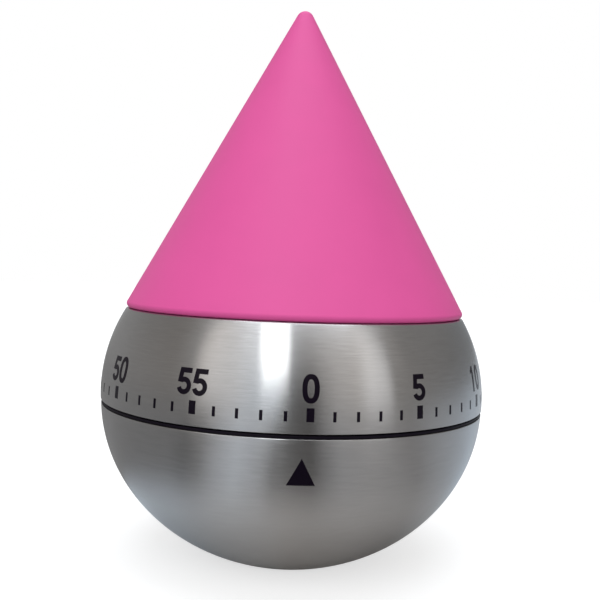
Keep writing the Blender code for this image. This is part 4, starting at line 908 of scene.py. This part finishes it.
FLOOR_R = 1.5
FLOOR_SIDES = 96
FLOOR_GREY = (0.50, 0.50, 0.50, 1.0)
FLOOR_GLOW = 0.66  # brings the lit floor up to white for the camera
PAINTED_LIGHT_NEAR = (0.032, 0.050)  # distances from the axis between which the far stops of the painted light take over


def make_floor():
    """A pale floor: white but for the shadow to the camera, and to the steel a table top with painted
    light and shade by azimuth.
    """
    form = bmesh.new()
    bmesh.ops.create_circle(form, cap_ends=True, segments=FLOOR_SIDES, radius=FLOOR_R)
    material = bpy.data.materials.new("pale_floor_painted_reflections")
    material.use_nodes = True
    nodes = Nodes(material.node_tree)
    material.node_tree.nodes.clear()
    way = nodes.add("SeparateXYZ")
    nodes.feed(way.inputs[0], nodes.add("TexCoord").outputs["Object"])
    x, y = way.outputs[:2]
    painted_close, painted_far = round_about(nodes, x, y, PAINTED_TABLE_LIGHT_CLOSE), round_about(nodes, x, y, PAINTED_TABLE_LIGHT)
    painted_table_light = nodes.blend(nodes.span(nodes.distance(x, y), *PAINTED_LIGHT_NEAR, 0.0, 1.0), painted_close, painted_far)
    # Rays off the steel see painted light and shade in the floor's colour instead of its grey.
    in_steel = nodes.add("LightPath").outputs["Is Glossy Ray"]
    paper = nodes.add("BsdfDiffuse")
    nodes.feed(paper.inputs["Color"], nodes.blend(in_steel, FLOOR_GREY, painted_table_light))
    glow = nodes.add("Emission")
    strength = nodes.math("MULTIPLY", white_for_camera(nodes), FLOOR_GLOW)
    nodes.feed(glow.inputs["Strength"], strength)
    both = nodes.add("AddShader")
    nodes.feed(both.inputs[0], paper.outputs[0])
    nodes.feed(both.inputs[1], glow.outputs[0])
    # The floor has one side, so that the underside of the timer can be looked at.
    one_sided = nodes.add("MixShader")
    nodes.feed(one_sided.inputs[0], nodes.add("NewGeometry").outputs["Backfacing"])
    nodes.feed(one_sided.inputs[1], both.outputs[0])
    nodes.feed(one_sided.inputs[2], nodes.add("BsdfTransparent").outputs[0])
    nodes.feed(nodes.add("OutputMaterial").inputs[0], one_sided.outputs[0])
    floor = mesh_object("floor", form, material)


# ---------------------------------------------------------------- assembly
make_camera()
make_room()
make_floor()
# Azimuth, lowest and highest elevation, width, radiance, colour
make_panel("window", -12.2, 20, 60, 14.4, 3.0, (0.95, 0.98, 1.0), tilt=9.0)
make_panel("skylight", 0, 66, 114, 48, 1.75, (0.86, 0.93, 1.0))
make_panel("back_fill", 180, 8, 72, 90, 0.42, (1.0, 1.0, 1.0)).visible_glossy = False

# Each piece with its body, its material slot and the CAD node that it stands for
PIECES = (
    (make_cone(cone_pink), "dial_head", "cone_plastic", ("cone_cap",)),
    (make_dial_shell(dial_steel), "dial_head", "shell_steel", ("upper_shell",)),
    (make_bowl(bowl_steel), "base", "bowl_steel", ("lower_bowl",)),
    (make_foot(foot_rubber), "base", "foot_rubber", ("foot_pad",)),
    (make_screw(FINISHES["screw_steel"]), "base", "screw_steel", ("bowl_screw",)),
    (make_ring(ring_plastic), "base", "chassis_plastic", ("seam_ring",)),
    (make_marks(dial_ink), "dial_head", "shell_steel", ()),
    (make_numbers(dial_ink), "dial_head", "shell_steel", ()),
    (make_pointer(dial_ink), "base", "bowl_steel", ()),
)
replaced = set()
for piece, body, slot_name, nodes_replaced in PIECES:
    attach(piece, body)
    if nodes_replaced:
        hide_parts(*nodes_replaced)
        replaced.update(nodes_replaced)
dress_the_rest(replaced)

bpy.context.scene.view_settings.view_transform = "Standard"
